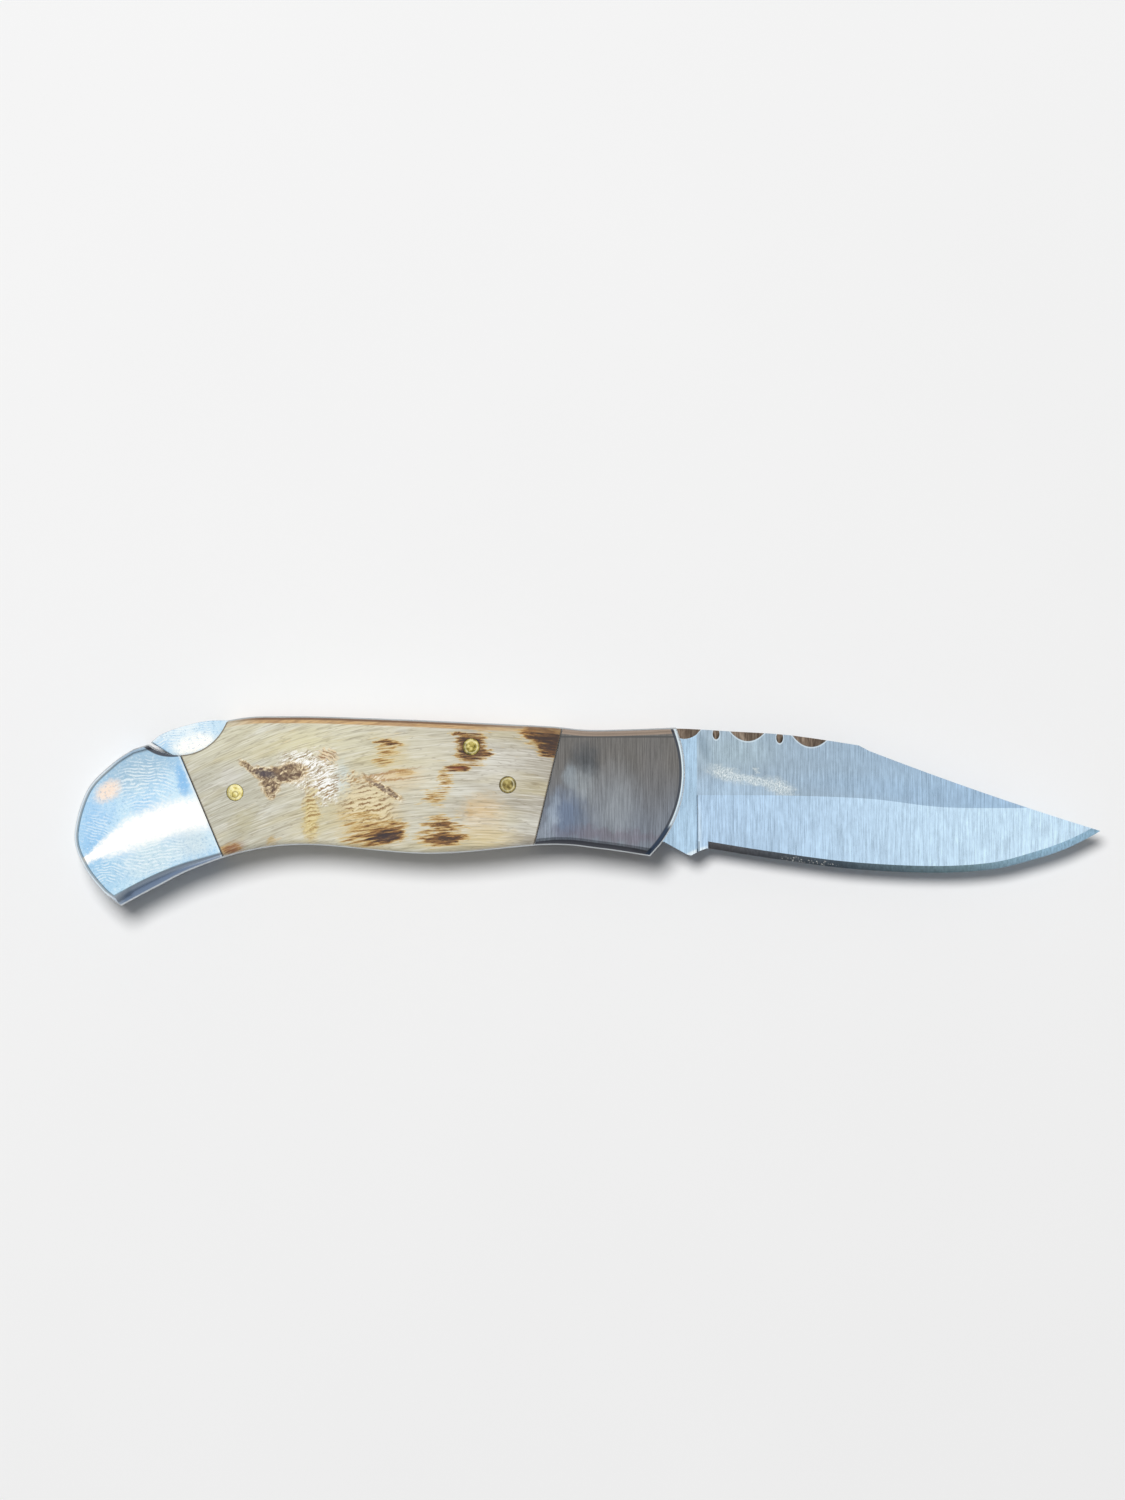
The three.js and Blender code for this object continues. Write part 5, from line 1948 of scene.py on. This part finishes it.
    def spacer(self, finish: Material) -> None:
        """Builds the block between the liners at the butt.

        Args:
            finish: Its steel.
        """
        low = self.heel_height - self.heel_depth / 2 - self.seat_fit
        high = self.heel_height + self.heel_depth / 2 + self.seat_fit
        horn_x = self.form.butt_x(self.horn_from_butt)
        heel_x = self.form.butt_x(self.butt_block - self.heel_length) - self.seat_fit
        outside = [
            p for p in self.form.outline()
            if p[0] < -55 and (p[0] < horn_x if p[1] > high else math.hypot(*p) > self.tip_sweep)
        ]
        start = math.atan2(outside[-1][1], outside[-1][0]) % math.tau
        end = math.pi - math.asin(low / self.tip_sweep)
        outline = [
            (horn_x, self.form.spine_line.height(horn_x)),
            *outside,
            *arc((0.0, 0.0), self.tip_sweep, start - 0.001, end, 24),
            (heel_x, low),
            (heel_x, high),
            (horn_x, high),
        ]
        hole = self.circle(self.butt_pins[1], self.butt_pin_radius)
        made = self.between("butt_spacer_steel", [outline, hole], finish)
        settle(smoothed(made), Body.HANDLE, Slot.SPRING, "butt_spacer")

    def build(self) -> None:
        """Builds and dresses all of it."""
        bone = {
            Side.TOP: BurntBone("bone_top", TOP_BURNS, TOP_SEARED, TOP_CLOUDS, TOP_CRINKLES, TOP_CHARS).material(),
            Side.BOTTOM: BurntBone(
                "bone_bottom", BOTTOM_BURNS, BOTTOM_SEARED, BOTTOM_CLOUDS, BOTTOM_CRINKLES, seed=(31.0, 17.0, 5.0)
            ).material(),
        }
        brushed = BrushedBolster().material()
        mirror = PolishedSteel(
            "rear_bolster_buffed",
            srgb(166, 206, 238),
            srgb(200, 228, 244),
            highlight_bands=(HighlightBand(),),
            # painted reflections: blue, pale and beige patches mirrored in the polish
            stains_and_painted_light=stains_and_painted_light(
                (-70.8, 6.6, 6.0, 2.8, 22.0, 0.8, 0.8, 156, 184, 204),
                (-76.6, 0.0, 2.6, 4.6, 0.0, 0.8, 0.5, 152, 196, 236),
                (-77.0, -4.4, 1.9, 3.0, 0.0, 0.8, 0.75, 150, 196, 234),
                (-74.6, -9.0, 2.8, 2.4, 20.0, 0.8, 0.8, 160, 200, 228),
                (-68.4, -6.6, 4.4, 2.6, 26.0, 0.7, 0.75, 204, 222, 228),
                (-62.6, -4.4, 2.6, 2.4, 0.0, 0.7, 0.75, 206, 220, 226),
                (-66.6, -3.0, 3.4, 0.8, 20.0, 0.8, 0.8, 232, 240, 242),
                (-61.9, 4.2, 1.0, 3.6, 24.0, 0.6, 0.7, 240, 247, 250),
                (-64.1, 4.6, 0.75, 2.2, 10.0, 0.5, 0.85, 138, 188, 232),
                (-74.9, 3.1, 2.0, 1.2, 35.0, 0.5, 0.9, 250, 226, 206),
            ),
            prints=(
                (Mark((-69.4, 4.0), (4.0, 3.6), 0.0, 0.35, 0.75), (-69.5, -2.5), 0.62),
                (Mark((-76.2, -2.4), (2.0, 2.6), 0.0, 0.5, 0.5), (-84.0, -16.0), 0.6),
                (Mark((-68.2, -6.4), (4.6, 2.2), 20.0, 0.35, 0.7), (-72.0, 18.0), 0.62),
                (Mark((-74.2, -8.4), (3.0, 1.8), 20.0, 0.35, 0.6), (-75.0, -11.0), 0.6),
            ),
            painted_edge_light=True,
        ).material()
        plain = PolishedSteel(
            "rear_bolster_buffed_under", srgb(166, 206, 238), srgb(200, 228, 244), painted_edge_light=True,
            prints=((Mark((-71.0, -1.0), (4.6, 5.4), 0.0, 0.35), (-70.0, -4.0), 0.45),),
        ).material()
        liner = PlainSteel().material()
        for side in Side:
            self.liner(side, liner)
            self.bolster(True, side, brushed)
            self.bolster(False, side, mirror if side is Side.TOP else plain)
            self.scale(side, bone[side])
        self.spacer(PlainSteel("spacer_satin", srgb(172, 176, 182), 0.34).material())
        hidden = PlainSteel("hidden_pin_satin", srgb(190, 192, 196), 0.34).material()
        for node in ("blade_pivot_pin", "butt_pin_upper", "butt_pin_lower"):
            dress(node, hidden)
        dress("lock_spring", PlainSteel("spring_satin", srgb(160, 164, 172), 0.34).material())


def dress(node: str, finish: Material) -> None:
    """Gives a solid that stays as it is a finish.

    Args:
        node: Its name.
        finish: Its material.
    """
    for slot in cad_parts[node].material_slots:
        slot.material = finish
    LOG.info("%s: dressed in %s", node, finish.name)


@dataclass
class BrassPins(Assembly):
    """The pins of both scales: one that goes right through, and a short one on each side of the others."""

    sink: float = 0.05
    dome: float = 0.12

    def heads(self) -> Thing:
        """Points at the outer end of every pin."""
        points = [(x, y, z) for x, y in self.form.scale_pins for z in (self.layers.total, 0.0)]
        return meshed("brass_pins", points)

    def build(self) -> None:
        """Builds the pins with a tree that sets a domed pin on every point."""
        length = self.layers.scale + self.layers.liner - self.sink
        recipe = Recipe(
            "pin_setting", {"Radius": self.form.pin_radius, "Length": length, "Dome": self.dome, "Sides": 48}
        )
        given = recipe.given
        shank = recipe.node(
            "GeometryNodeMeshCylinder",
            {"Vertices": given["Sides"], "Fill Segments": 7, "Radius": given["Radius"], "Depth": given["Length"]},
        ).outputs["Mesh"]
        place = recipe.out("GeometryNodeInputPosition")
        parts = recipe.parts(place)
        squares = [recipe.math("POWER", part, 2.0) for part in parts[:2]]
        reach = recipe.math("SQRT", recipe.plus(*squares))
        share = recipe.math("POWER", recipe.math("DIVIDE", reach, given["Radius"]), 2.4)
        outer = recipe.out("FunctionNodeCompare", {0: parts[2], 1: 0.0}, operation="GREATER_THAN")
        drop = recipe.times(recipe.times(share, given["Dome"]), -1.0)
        domed = recipe.node(
            "GeometryNodeSetPosition", {"Geometry": shank, "Selection": outer, "Offset": recipe.vector(z=drop)}
        ).outputs[0]
        lowered = recipe.vector(z=recipe.times(given["Length"], -0.5))
        pin = recipe.out("GeometryNodeTransform", {0: domed, "Translation": lowered})
        under = recipe.out("FunctionNodeCompare", {0: parts[2], 1: 1.0}, operation="LESS_THAN")
        turn = recipe.vector(recipe.times(under, math.pi))
        set_pins = recipe.node(
            "GeometryNodeInstanceOnPoints", {"Points": given["Geometry"], "Instance": pin, "Rotation": turn}
        ).outputs[0]
        recipe.end(set_pins)
        made = recipe.run(self.heads(), Brass().material())
        low = length - 0.4
        shaft = bar("shaft", self.form.lock_pin, self.form.pin_radius - 0.03, low, self.layers.total - low)
        with opened(made) as merged:
            merged.from_mesh(shaft.data)
        bpy.data.objects.remove(shaft)
        nodes = ("lock_bar_pin", "front_rivet_top", "front_rivet_bottom", "rear_rivet_top", "rear_rivet_bottom")
        settle(smoothed(outward(made), 40.0), Body.HANDLE, Slot.BRASS, *nodes)


@dataclass
class LockBar(Lockwork):
    """The rocker along the spine: hook over the tang, tail in the thumb notch."""

    hook_clearance: float = 0.25
    hook_height: float = 1.6
    pad_y: float = 6.132
    bar_depth: float = 5.6
    tail_depth: float = 4.6
    tail_start: float = 22.5
    tail_end: float = 11.1
    tail_slant: float = 3.4
    running_fit: float = 0.08

    def tail_x(self, share: float) -> float:
        """X along the tail, 0 at its start and 1 at its end."""
        return self.form.butt_x(self.tail_start + (self.tail_end - self.tail_start) * share)

    @property
    def tail_top(self) -> Spline:
        """Curved top of the tail."""
        spine, crown, x = self.form.spine, self.form.crown, self.tail_x
        start = self.form.spine_line.height(x(0))
        return Spline((
            (x(0), start),
            (x(0.29), spine + crown * 0.58),
            (x(0.6), spine + crown * 0.09),
            (x(0.86), spine - crown * 0.58),
            (x(1), spine - crown * 1.33),
        ))

    @property
    def arm_line(self) -> Spline:
        """Underside of the rear arm."""
        back, spine = self.form.lock_pin_back, self.form.spine_line.height
        middle, end = -self.form.to_butt * 0.54, self.form.butt_x(26)
        return Spline((
            (-back + 3, self.form.lock_pin[1] - 2.1),
            (-back - 8, spine(-back - 8) - self.bar_depth),
            (middle, spine(middle) - self.bar_depth + 0.2),
            (end, spine(end) - self.bar_depth + 0.3),
            (self.form.notch_centre[0], self.form.spine - self.tail_depth + 0.3),
        ))

    def outline(self) -> list[Point]:
        """Lays the outline of the bar.

        Returns:
            The closed outline.
        """
        face = self.shoulder_x - self.shoulder_gap
        foot = self.tang_radius + self.hook_clearance
        step, ledge = face - self.hook_width, foot + self.hook_height
        tail_end = (self.form.butt_x(self.tail_end + self.tail_slant), self.form.spine - self.tail_depth + 0.4)
        return [
            *[(x, self.form.spine_line.height(x)) for x in spread(face, self.tail_x(0), 70)[:-1]],
            *self.tail_top.spaced(30),
            tail_end,
            *self.arm_line.spaced(48)[:-1][::-1],
            (-self.kick_x - 3.5, self.pad_y),
            (-self.kick_x + 2, self.pad_y),
            (step - 3.5, ledge),
            (step, ledge),
            (step, foot),
            (face, foot),
        ]

    def build(self) -> None:
        """Builds and dresses the bar."""
        finish = PolishedSteel(
            "lock_bar_buffed", srgb(196, 222, 240), srgb(222, 236, 244),
            # painted highlight: the near-white patch on the tail; painted reflection: the blue patch beside it
            stains_and_painted_light=stains_and_painted_light(
                (-62.6, 10.0, 3.0, 1.35, 16.0, 0.35, 1.0, 255, 254, 248),
                (-67.3, 9.6, 1.2, 0.9, 20.0, 0.7, 0.8, 176, 210, 238),
            ),
            prints=((Mark((-64.6, 11.4), (4.8, 1.7), 10.0, 0.3), (-59.5, -8.0), 0.45),),
        ).material()
        hole = arc(self.form.lock_pin, self.form.pin_radius + self.running_fit, 0, math.tau, 40)[:-1]
        made = self.between("lock_bar_steel", [self.outline(), hole], finish)
        settle(smoothed(broken_edges(made, 0.1)), Body.LOCK, Slot.POLISHED, "lock_bar")


@dataclass
class Blade(Lockwork):
    """Clip-point blade with its tang, grinds, edge bevel and file cuts."""

    tip: Point = (70.094, -2.8)
    tip_sliver: float = 0.12
    edge_depth: float = 8.9
    heel_depth: float = 5.3
    back: float = 12.2
    spine_end: Point = (34.6, 9.75)
    clip_fall: Point = (1.5, 0.8)
    clip_hollow: float = 0.35
    kick_depth: float = 6.35
    plunge_x: float = 10.9
    plunge_radius: float = 1.5
    flat_step: float = 0.14
    grind_height: float = 2.5
    grind_tip_height: float = 0.6
    edge_shoulder: float = 0.4
    bevel_start: float = 12.6
    bevel_width: float = 1.0
    bevel_tip_width: float = 1.15
    notch_depth: float = 1.2
    pivot_hole: float = 1.68
    cuts: int = 5
    cut_pitch: float = 4.65
    cut_last_x: float = 27.7
    cut_tilt: float = 52.0
    broad_cut: Point = (4.2, 1.3)
    narrow_cut: Point = (0.5, 1.3)
    side_normal: float = 0.86

    def share_x(self, share: float) -> float:
        """X at a share of the ground length, 0 at the heel and 1 at the tip."""
        return self.bevel_start + (self.tip[0] - self.bevel_start) * share

    def __post_init__(self) -> None:
        """Lays the curves of the blade."""
        at, deep = self.share_x, self.edge_depth - self.heel_depth
        self.edge_line = Spline((
            (self.bevel_start, -self.heel_depth),
            (at(0.155), -self.heel_depth - deep * 0.4),
            (at(0.36), -self.heel_depth - deep * 0.83),
            (at(0.57), -self.edge_depth),
            (at(0.72), -self.edge_depth * 0.945),
            (at(0.825), -self.edge_depth * 0.787),
            (at(0.912), -self.edge_depth * 0.6),
            self.tip,
            (self.tip[0] + 2, self.tip[1] + 1.2),
        ))
        end_x, end_y = self.spine_end
        fall = self.back - end_y
        self.back_line = Spline((
            (self.shoulder_x, self.back - 0.1),
            (self.form.to_front - 1, self.back),
            (end_x * 0.45, self.back - fall * 0.16),
            (end_x * 0.71, self.back - fall * 0.4),
            self.spine_end,
        ))
        self.clip_start = (end_x + self.clip_fall[0], end_y - self.clip_fall[1])
        high, low = self.grind_height, self.grind_tip_height
        self.grind_line = Spline((
            (self.plunge_x - 1, high),
            (at(0.2), high - 0.1),
            (at(0.41), high - (high - low) * 0.3),
            (at(0.6), low + 0.1),
            (at(0.82), low),
            (self.tip[0] + 4, low),
        ))
        self.half = self.layers.blade / 2
        self.flat_half = self.half - self.flat_step

    def clip_points(self, count: int) -> list[Point]:
        """Points of the hollow clip, from the tip back to its start, without the last."""
        a, c = Vector(self.tip), Vector(self.clip_start)
        b = (a + c) / 2 - Vector((0, 2 * self.clip_hollow))
        shares = [i / count for i in range(count)]
        return [tuple(a * (1 - t) ** 2 + b * 2 * t * (1 - t) + c * t**2) for t in shares]

    def bevel_top(self, x: float) -> float:
        """Height of the top of the edge bevel."""
        share = smoothstep(x, self.share_x(0.7), self.share_x(0.92))
        return self.edge_line.height(x) + self.bevel_width + (self.bevel_tip_width - self.bevel_width) * share

    def outline(self) -> list[Point]:
        """Lays the side view of the blade and tang, a little deeper than the edge.

        Returns:
            The closed outline.
        """
        floor = self.tang_radius - self.notch_depth
        lug_x = self.shoulder_x - self.shoulder_gap - self.hook_width - self.shoulder_gap
        lug_angle = math.pi - math.acos(-lug_x / self.tang_radius)
        return [
            (self.shoulder_x, floor),
            (lug_x, floor),
            *arc((0.0, 0.0), self.tang_radius, lug_angle, math.tau - math.radians(55), 72),
            (self.kick_x * 0.62, -self.tang_radius * 0.79),
            (self.kick_x - 0.35, -self.kick_depth + 0.12),
            (self.kick_x + 0.2, -self.kick_depth),
            (self.kick_x + 0.75, -self.kick_depth + 0.3),
            (self.plunge_x + 0.6, -self.heel_depth - 0.35),
            (self.bevel_start - 0.15, -self.heel_depth),
            *[(x, self.edge_line.height(x) - 0.4) for x in spread(self.bevel_start + 0.5, self.tip[0], 40)],
            *self.clip_points(36),
            self.clip_start,
            *self.back_line.spaced(48)[::-1],
        ]

    def loft(self, name: str, stations: Sequence[tuple[float, Sequence[Point]]], side: int) -> Thing:
        """Makes a cutting solid through a row of sections.

        Args:
            name: Name of the solid.
            stations: Each an X and a section of (y, z), z measured outwards from the middle plane.
            side: 1 for the upper side and -1 for the lower.

        Returns:
            The solid.
        """
        middle = self.layers.middle
        rings = [[(x, y, middle + side * z) for y, z in section] for x, section in stations]
        return Solid(name).rings(rings).finished()

    def main_grind(self, side: int) -> Thing:
        """What the wheel takes from one side: a thin step on the flat and the taper to the edge."""
        outside, high = 2 * self.layers.blade, 2 * self.back
        xs = [self.plunge_x + self.plunge_radius * t for t in spread(0, 1, 12)]
        xs += spread(self.bevel_start, self.tip[0] + 1.6, 70)
        stations = []
        for x in xs:
            into = min(1.0, (x - self.plunge_x) / self.plunge_radius)
            deep = math.sqrt(max(0.0, 1 - (1 - into) ** 2))
            grind, bevel = self.grind_line.height(x), self.bevel_top(x)
            low = bevel - 3 * self.bevel_width
            slope = (self.flat_half - self.edge_shoulder) / (grind - bevel)
            untouched = self.half + 0.02

            def reached(full: float) -> float:
                """How deep the wheel has come of its full depth."""
                return untouched + (full - untouched) * deep

            foot = self.edge_shoulder - min(slope, 0.9 * self.edge_shoulder / self.bevel_tip_width) * (bevel - low)
            stations.append((x, [
                (high, outside), (high, reached(self.flat_half)), (grind, reached(self.flat_half)),
                (bevel, reached(self.edge_shoulder)), (low, reached(foot)), (low, outside),
            ]))
        return self.loft("main_grind", stations, side)

    def edge_grind(self, side: int) -> Thing:
        """What the edge bevel takes from one side, down to a sharp edge."""
        outside, shoulder = 2 * self.layers.blade, self.edge_shoulder
        stations = []
        for x in spread(self.bevel_start, self.tip[0] + 1.6, 70):
            edge, top = self.edge_line.height(x), self.bevel_top(x)
            width = top - edge
            stations.append((x, [
                (top + width, outside), (top + width, 2 * shoulder), (top, shoulder),
                (edge, 0.0), (edge - width, -shoulder), (edge - width, outside),
            ]))
        return self.loft("edge_grind", stations, side)

    def file_cuts(self) -> Recipe:
        """Builds the tree that files slanting cuts across both corners of the spine.

        Returns:
            The tree.
        """
        recipe = Recipe("spine_filing", {
            "Cuts": self.cuts, "Pitch": self.cut_pitch, "Last X": self.cut_last_x,
            "Tilt": math.radians(self.cut_tilt), "Broad Radius": self.broad_cut[0], "Broad Depth": self.broad_cut[1],
            "Narrow Radius": self.narrow_cut[0], "Narrow Depth": self.narrow_cut[1],
            "Middle": self.layers.middle, "Half Thickness": self.flat_half,
        })
        given, sums = recipe.given, recipe.math
        index = recipe.out("GeometryNodeInputIndex")
        number = sums("FLOOR", sums("DIVIDE", index, 2.0))
        side = sums("SUBTRACT", sums("MULTIPLY", sums("MODULO", index, 2.0), 2.0), 1.0)
        narrow = sums("MODULO", number, 2.0)
        broad = sums("SUBTRACT", 1.0, narrow)

        def either(first: str, second: str) -> Socket:
            """The size of a broad cut or of a narrow one."""
            return sums("ADD", sums("MULTIPLY", given[first], broad), sums("MULTIPLY", given[second], narrow))

        radius, depth = either("Broad Radius", "Narrow Radius"), either("Broad Depth", "Narrow Depth")
        x = sums("SUBTRACT", given["Last X"], sums("MULTIPLY", given["Pitch"], number))
        cast = recipe.node("GeometryNodeRaycast", {
            "Target Geometry": given["Geometry"], "Source Position": recipe.vector(x, 40.0, given["Middle"]),
            "Ray Direction": (0.0, -1.0, 0.0), "Ray Length": 100.0,
        })
        spine = recipe.parts(cast.outputs["Hit Position"])[1]
        rise = sums("SUBTRACT", sums("DIVIDE", radius, sums("COSINE", given["Tilt"])), depth)
        corner = sums("ADD", given["Middle"], sums("MULTIPLY", side, given["Half Thickness"]))
        points = recipe.node("GeometryNodePoints", {
            "Count": sums("MULTIPLY", given["Cuts"], 2.0),
            "Position": recipe.vector(x, sums("ADD", spine, rise), corner),
        }).outputs[0]
        file = recipe.node("GeometryNodeMeshCylinder", {"Vertices": 96, "Radius": 1.0, "Depth": 15.0}).outputs["Mesh"]
        files = recipe.node("GeometryNodeInstanceOnPoints", {
            "Points": points, "Instance": file, "Scale": recipe.vector(radius, radius, 1.0),
            "Rotation": recipe.vector(sums("MULTIPLY", side, given["Tilt"])),
        }).outputs[0]
        real = recipe.out("GeometryNodeRealizeInstances", {0: files})
        filed = recipe.node("GeometryNodeMeshBoolean", {
            "Mesh 1": given["Geometry"], "Mesh 2": real, "Self Intersection": True,
        }, operation="DIFFERENCE", solver="EXACT").outputs[0]
        recipe.end(filed)
        return recipe

    def finish_of(self, centre: Vector, normal: Vector) -> Ground:
        """Chooses the finish of one face.

        Args:
            centre: Middle of the face.
            normal: The way it faces.

        Returns:
            The finish.
        """
        x, y = centre.x, centre.y
        if abs(normal.z) < self.side_normal:
            if 5 < x < self.clip_start[0] and 0.1 < abs(normal.z) and y > self.back_line.height(x) - 2:
                return Ground.FILED
            return Ground.SPINE if y > 0 or normal.y > 0.5 else Ground.FLAT
        if x < self.plunge_x:
            return Ground.RICASSO
        if y > self.grind_line.height(min(x, self.tip[0])) - 0.01:
            return Ground.FLAT
        ground = abs(centre.z - self.layers.middle) > self.edge_shoulder or y > self.bevel_top(x)
        return Ground.GRIND if ground or x < self.bevel_start else Ground.BEVEL

    def finishes(self) -> list[Material]:
        """Makes the finishes of the blade.

        Returns:
            The materials, in the order of Ground.
        """
        # painted highlight: a pale line round each file cut
        rims = []
        for number in range(self.cuts):
            x = self.cut_last_x - self.cut_pitch * number
            radius, depth = self.narrow_cut if number % 2 else self.broad_cut
            tall = radius / math.cos(math.radians(self.cut_tilt))
            rims.append(Mark((x, self.back_line.height(x) + tall - depth), (radius, tall)))
        # tone patches of painted reflection, a painted shade wedge at the top of the plunge, and a painted highlight
        # line along the spine
        flat_shade_and_sheen = stains_and_painted_light(
            (16.5, 8.8, 5.0, 2.4, 0.0, 0.8, 0.5, 176, 196, 206),
            (12.0, 9.6, 0.7, 1.9, 20.0, 0.7, 0.55, 132, 152, 168),
            (31.8, 10.75, 2.6, 0.22, -11.0, 0.4, 0.9, 226, 240, 246),
            (40.0, 3.2, 12.0, 1.4, -6.0, 0.9, 0.4, 160, 188, 216),
            (14.5, 3.2, 6.5, 1.7, -2.0, 0.9, 0.75, 176, 201, 225),
        )
        smears = (
            Mark((15.4, 5.5), (2.6, 0.9), -18.0, 0.6), Mark((19.2, 4.6), (4.4, 0.6), -12.0, 0.6),
            Mark((22.9, 3.7), (2.2, 1.0), -22.0, 0.6), Mark((19.6, 6.1), (0.3, 0.5), 0.0, 0.4, 0.7),
        )
        # painted highlights: a pale strip up the plunge and along the choil
        plunge_highlights = stains_and_painted_light(
            (11.3, -3.4, 0.3, 3.4, 0.0, 0.9, 0.35, 222, 238, 248),
            (10.8, -5.9, 1.9, 0.4, 22.0, 0.5, 0.8, 230, 242, 250),
        )
        # flat, grind, ricasso and spine are one steel, their different tones painted reflection
        return [
            BrushedBlade(
                "blade_flat", srgb(157, 175, 191), srgb(161, 189, 216),
                smears=smears, marks=flat_shade_and_sheen, rims=tuple(rims),
            ).material(),
            BrushedBlade("blade_grind", srgb(179, 205, 231), srgb(199, 225, 246), marks=plunge_highlights).material(),
            EdgeSteel().material(),
            FileFacet().material(),
            BrushedBlade("blade_spine", srgb(226, 228, 230), srgb(206, 214, 222), depth=0.002).material(),
            BrushedBlade(
                "blade_ricasso", srgb(175, 203, 227), srgb(175, 198, 220), marks=plunge_highlights, rims=tuple(rims[-1:])
            ).material(),
        ]

    def pointed(self, made: Thing) -> Thing:
        """Takes off the sliver that the grinds leave at the very tip."""
        with opened(made) as form:
            end = [v for v in form.verts if v.co.x > self.tip[0] - self.tip_sliver]
            bmesh.ops.remove_doubles(form, verts=end, dist=self.tip_sliver)
        return made

    def build(self) -> None:
        """Grinds, files, bores and dresses the blade."""
        middle = self.layers.middle
        outline = self.outline()
        blank = Solid("blade_ground").rings([[(x, y, middle + z) for x, y in outline] for z in (-self.half, self.half)])
        bore = bar("bore", (0.0, 0.0), self.pivot_hole, -5, self.layers.total + 5, 64)
        tools = [make(side) for side in (1, -1) for make in (self.main_grind, self.edge_grind)]
        made = cut(blank.finished(), [*tools, bore])
        finishes = self.finishes()
        made = self.pointed(self.file_cuts().run(made, finishes[0]))
        made.data.materials.clear()
        for finish in finishes:
            made.data.materials.append(finish)
        for face in made.data.polygons:
            face.material_index = self.finish_of(face.center, face.normal).value
        settle(smoothed(made, 25.0), Body.BLADE, Slot.BLADE, "blade")


@dataclass
class Studio:
    """Camera straight above the knife, one soft lamp, a pale floor and an even sky."""

    view_centre: tuple[float, float] = (-0.00871, 0.00907)
    camera_height: float = 1.25
    lens: float = 272.0
    floor_colour: Colour = srgb(243, 243, 243)
    floor_reach: float = 6.0
    lamp_distance: float = 2.0
    lamp_slope: Point = (-0.16, 0.27)
    lamp_size: float = 0.62
    lamp_power: float = 33.4
    sky_light: float = 0.2
    sky_slope: tuple[float, float, float] = (0.6, 0.3, 0.8)
    sky_shine: float = 1.1
    sky_levels: tuple[Point, ...] = ((0.0, 0.46), (0.3, 0.3), (0.5, 0.68), (0.7, 1.0))
    sky_blue: float = 0.985

    def camera(self) -> None:
        """Sets the camera of the photograph."""
        lens = bpy.data.cameras.new("camera")
        lens.lens = self.lens
        lens.sensor_fit = "HORIZONTAL"
        lens.sensor_width = 36.0
        lens.clip_start = 0.01
        made = linked("camera", lens)
        made.location = (*self.view_centre, self.camera_height)
        bpy.context.scene.camera = made

    def lamp(self) -> None:
        """Hangs the lamp, a little towards the butt and the spine."""
        light = bpy.data.lights.new("lamp", "AREA")
        light.shape = "DISK"
        light.size = self.lamp_size
        light.energy = self.lamp_power
        made = linked("lamp", light)
        way = Vector((*self.lamp_slope, 1.0)).normalized()
        made.location = Vector((*self.view_centre, 0.0)) + way * self.lamp_distance
        made.rotation_euler = way.to_track_quat("Z", "Y").to_euler()
        made.visible_glossy = False

    def floor(self) -> None:
        """Lays the floor that the knife lies on."""
        paint = Paint("floor_pale")
        mottle = paint.noise(paint.mm, 0.02, 2.0)
        shade = paint.step(mottle, 0.2, 0.8, 0.99, 1.0)
        corners = [(x * self.floor_reach, y * self.floor_reach, 0) for x, y in ((-1, -1), (1, -1), (1, 1), (-1, 1))]
        made = meshed("floor", corners, faces=[(0, 1, 2, 3)])
        finish = paint.finish(0.0, 0.9, paint.shaded(self.floor_colour, shade), Specular_IOR_Level=0.0)
        made.data.materials.append(finish)

    def sky(self) -> None:
        """Sets the sky: pale to the eye, even light, and darker round the horizon in reflections."""
        world = bpy.data.worlds.new("sky")
        bpy.context.scene.world = world
        world.use_nodes = True
        graph = Graph(world.node_tree)
        graph.tree.nodes.clear()
        way = graph.node("ShaderNodeTexCoord").outputs["Generated"]
        rise = graph.node("ShaderNodeVectorMath", {0: way, 1: self.sky_slope}, operation="DOT_PRODUCT")
        stops = [(place, (level, level, level * self.sky_blue)) for place, level in self.sky_levels]
        seen = graph.ramp(rise.outputs["Value"], stops)
        path = graph.node("ShaderNodeLightPath").outputs
        even = graph.out("ShaderNodeBackground", {"Color": (1, 1, 1), "Strength": self.sky_light})
        mirrored = graph.out("ShaderNodeBackground", {"Color": seen, "Strength": self.sky_shine})
        backdrop = graph.out("ShaderNodeBackground", {"Color": self.floor_colour})
        shiny = graph.math("MAXIMUM", path["Is Glossy Ray"], path["Is Transmission Ray"])
        first = graph.out("ShaderNodeMixShader", {0: shiny, 1: even, 2: mirrored})
        last = graph.out("ShaderNodeMixShader", {0: path["Is Camera Ray"], 1: first, 2: backdrop})
        graph.node("ShaderNodeOutputWorld", {0: last})

    def build(self) -> None:
        """Sets up the whole studio."""
        self.camera()
        self.lamp()
        self.floor()
        self.sky()
        bpy.context.scene.view_settings.view_transform = "Standard"


def main() -> None:
    """Builds the knife and the studio."""
    logging.basicConfig(level=logging.INFO, format="%(message)s")
    Studio().build()
    for part in (Handle(), BrassPins(), LockBar(), Blade()):
        part.build()
    bpy.context.view_layer.update()


if __name__ == "__main__":
    main()
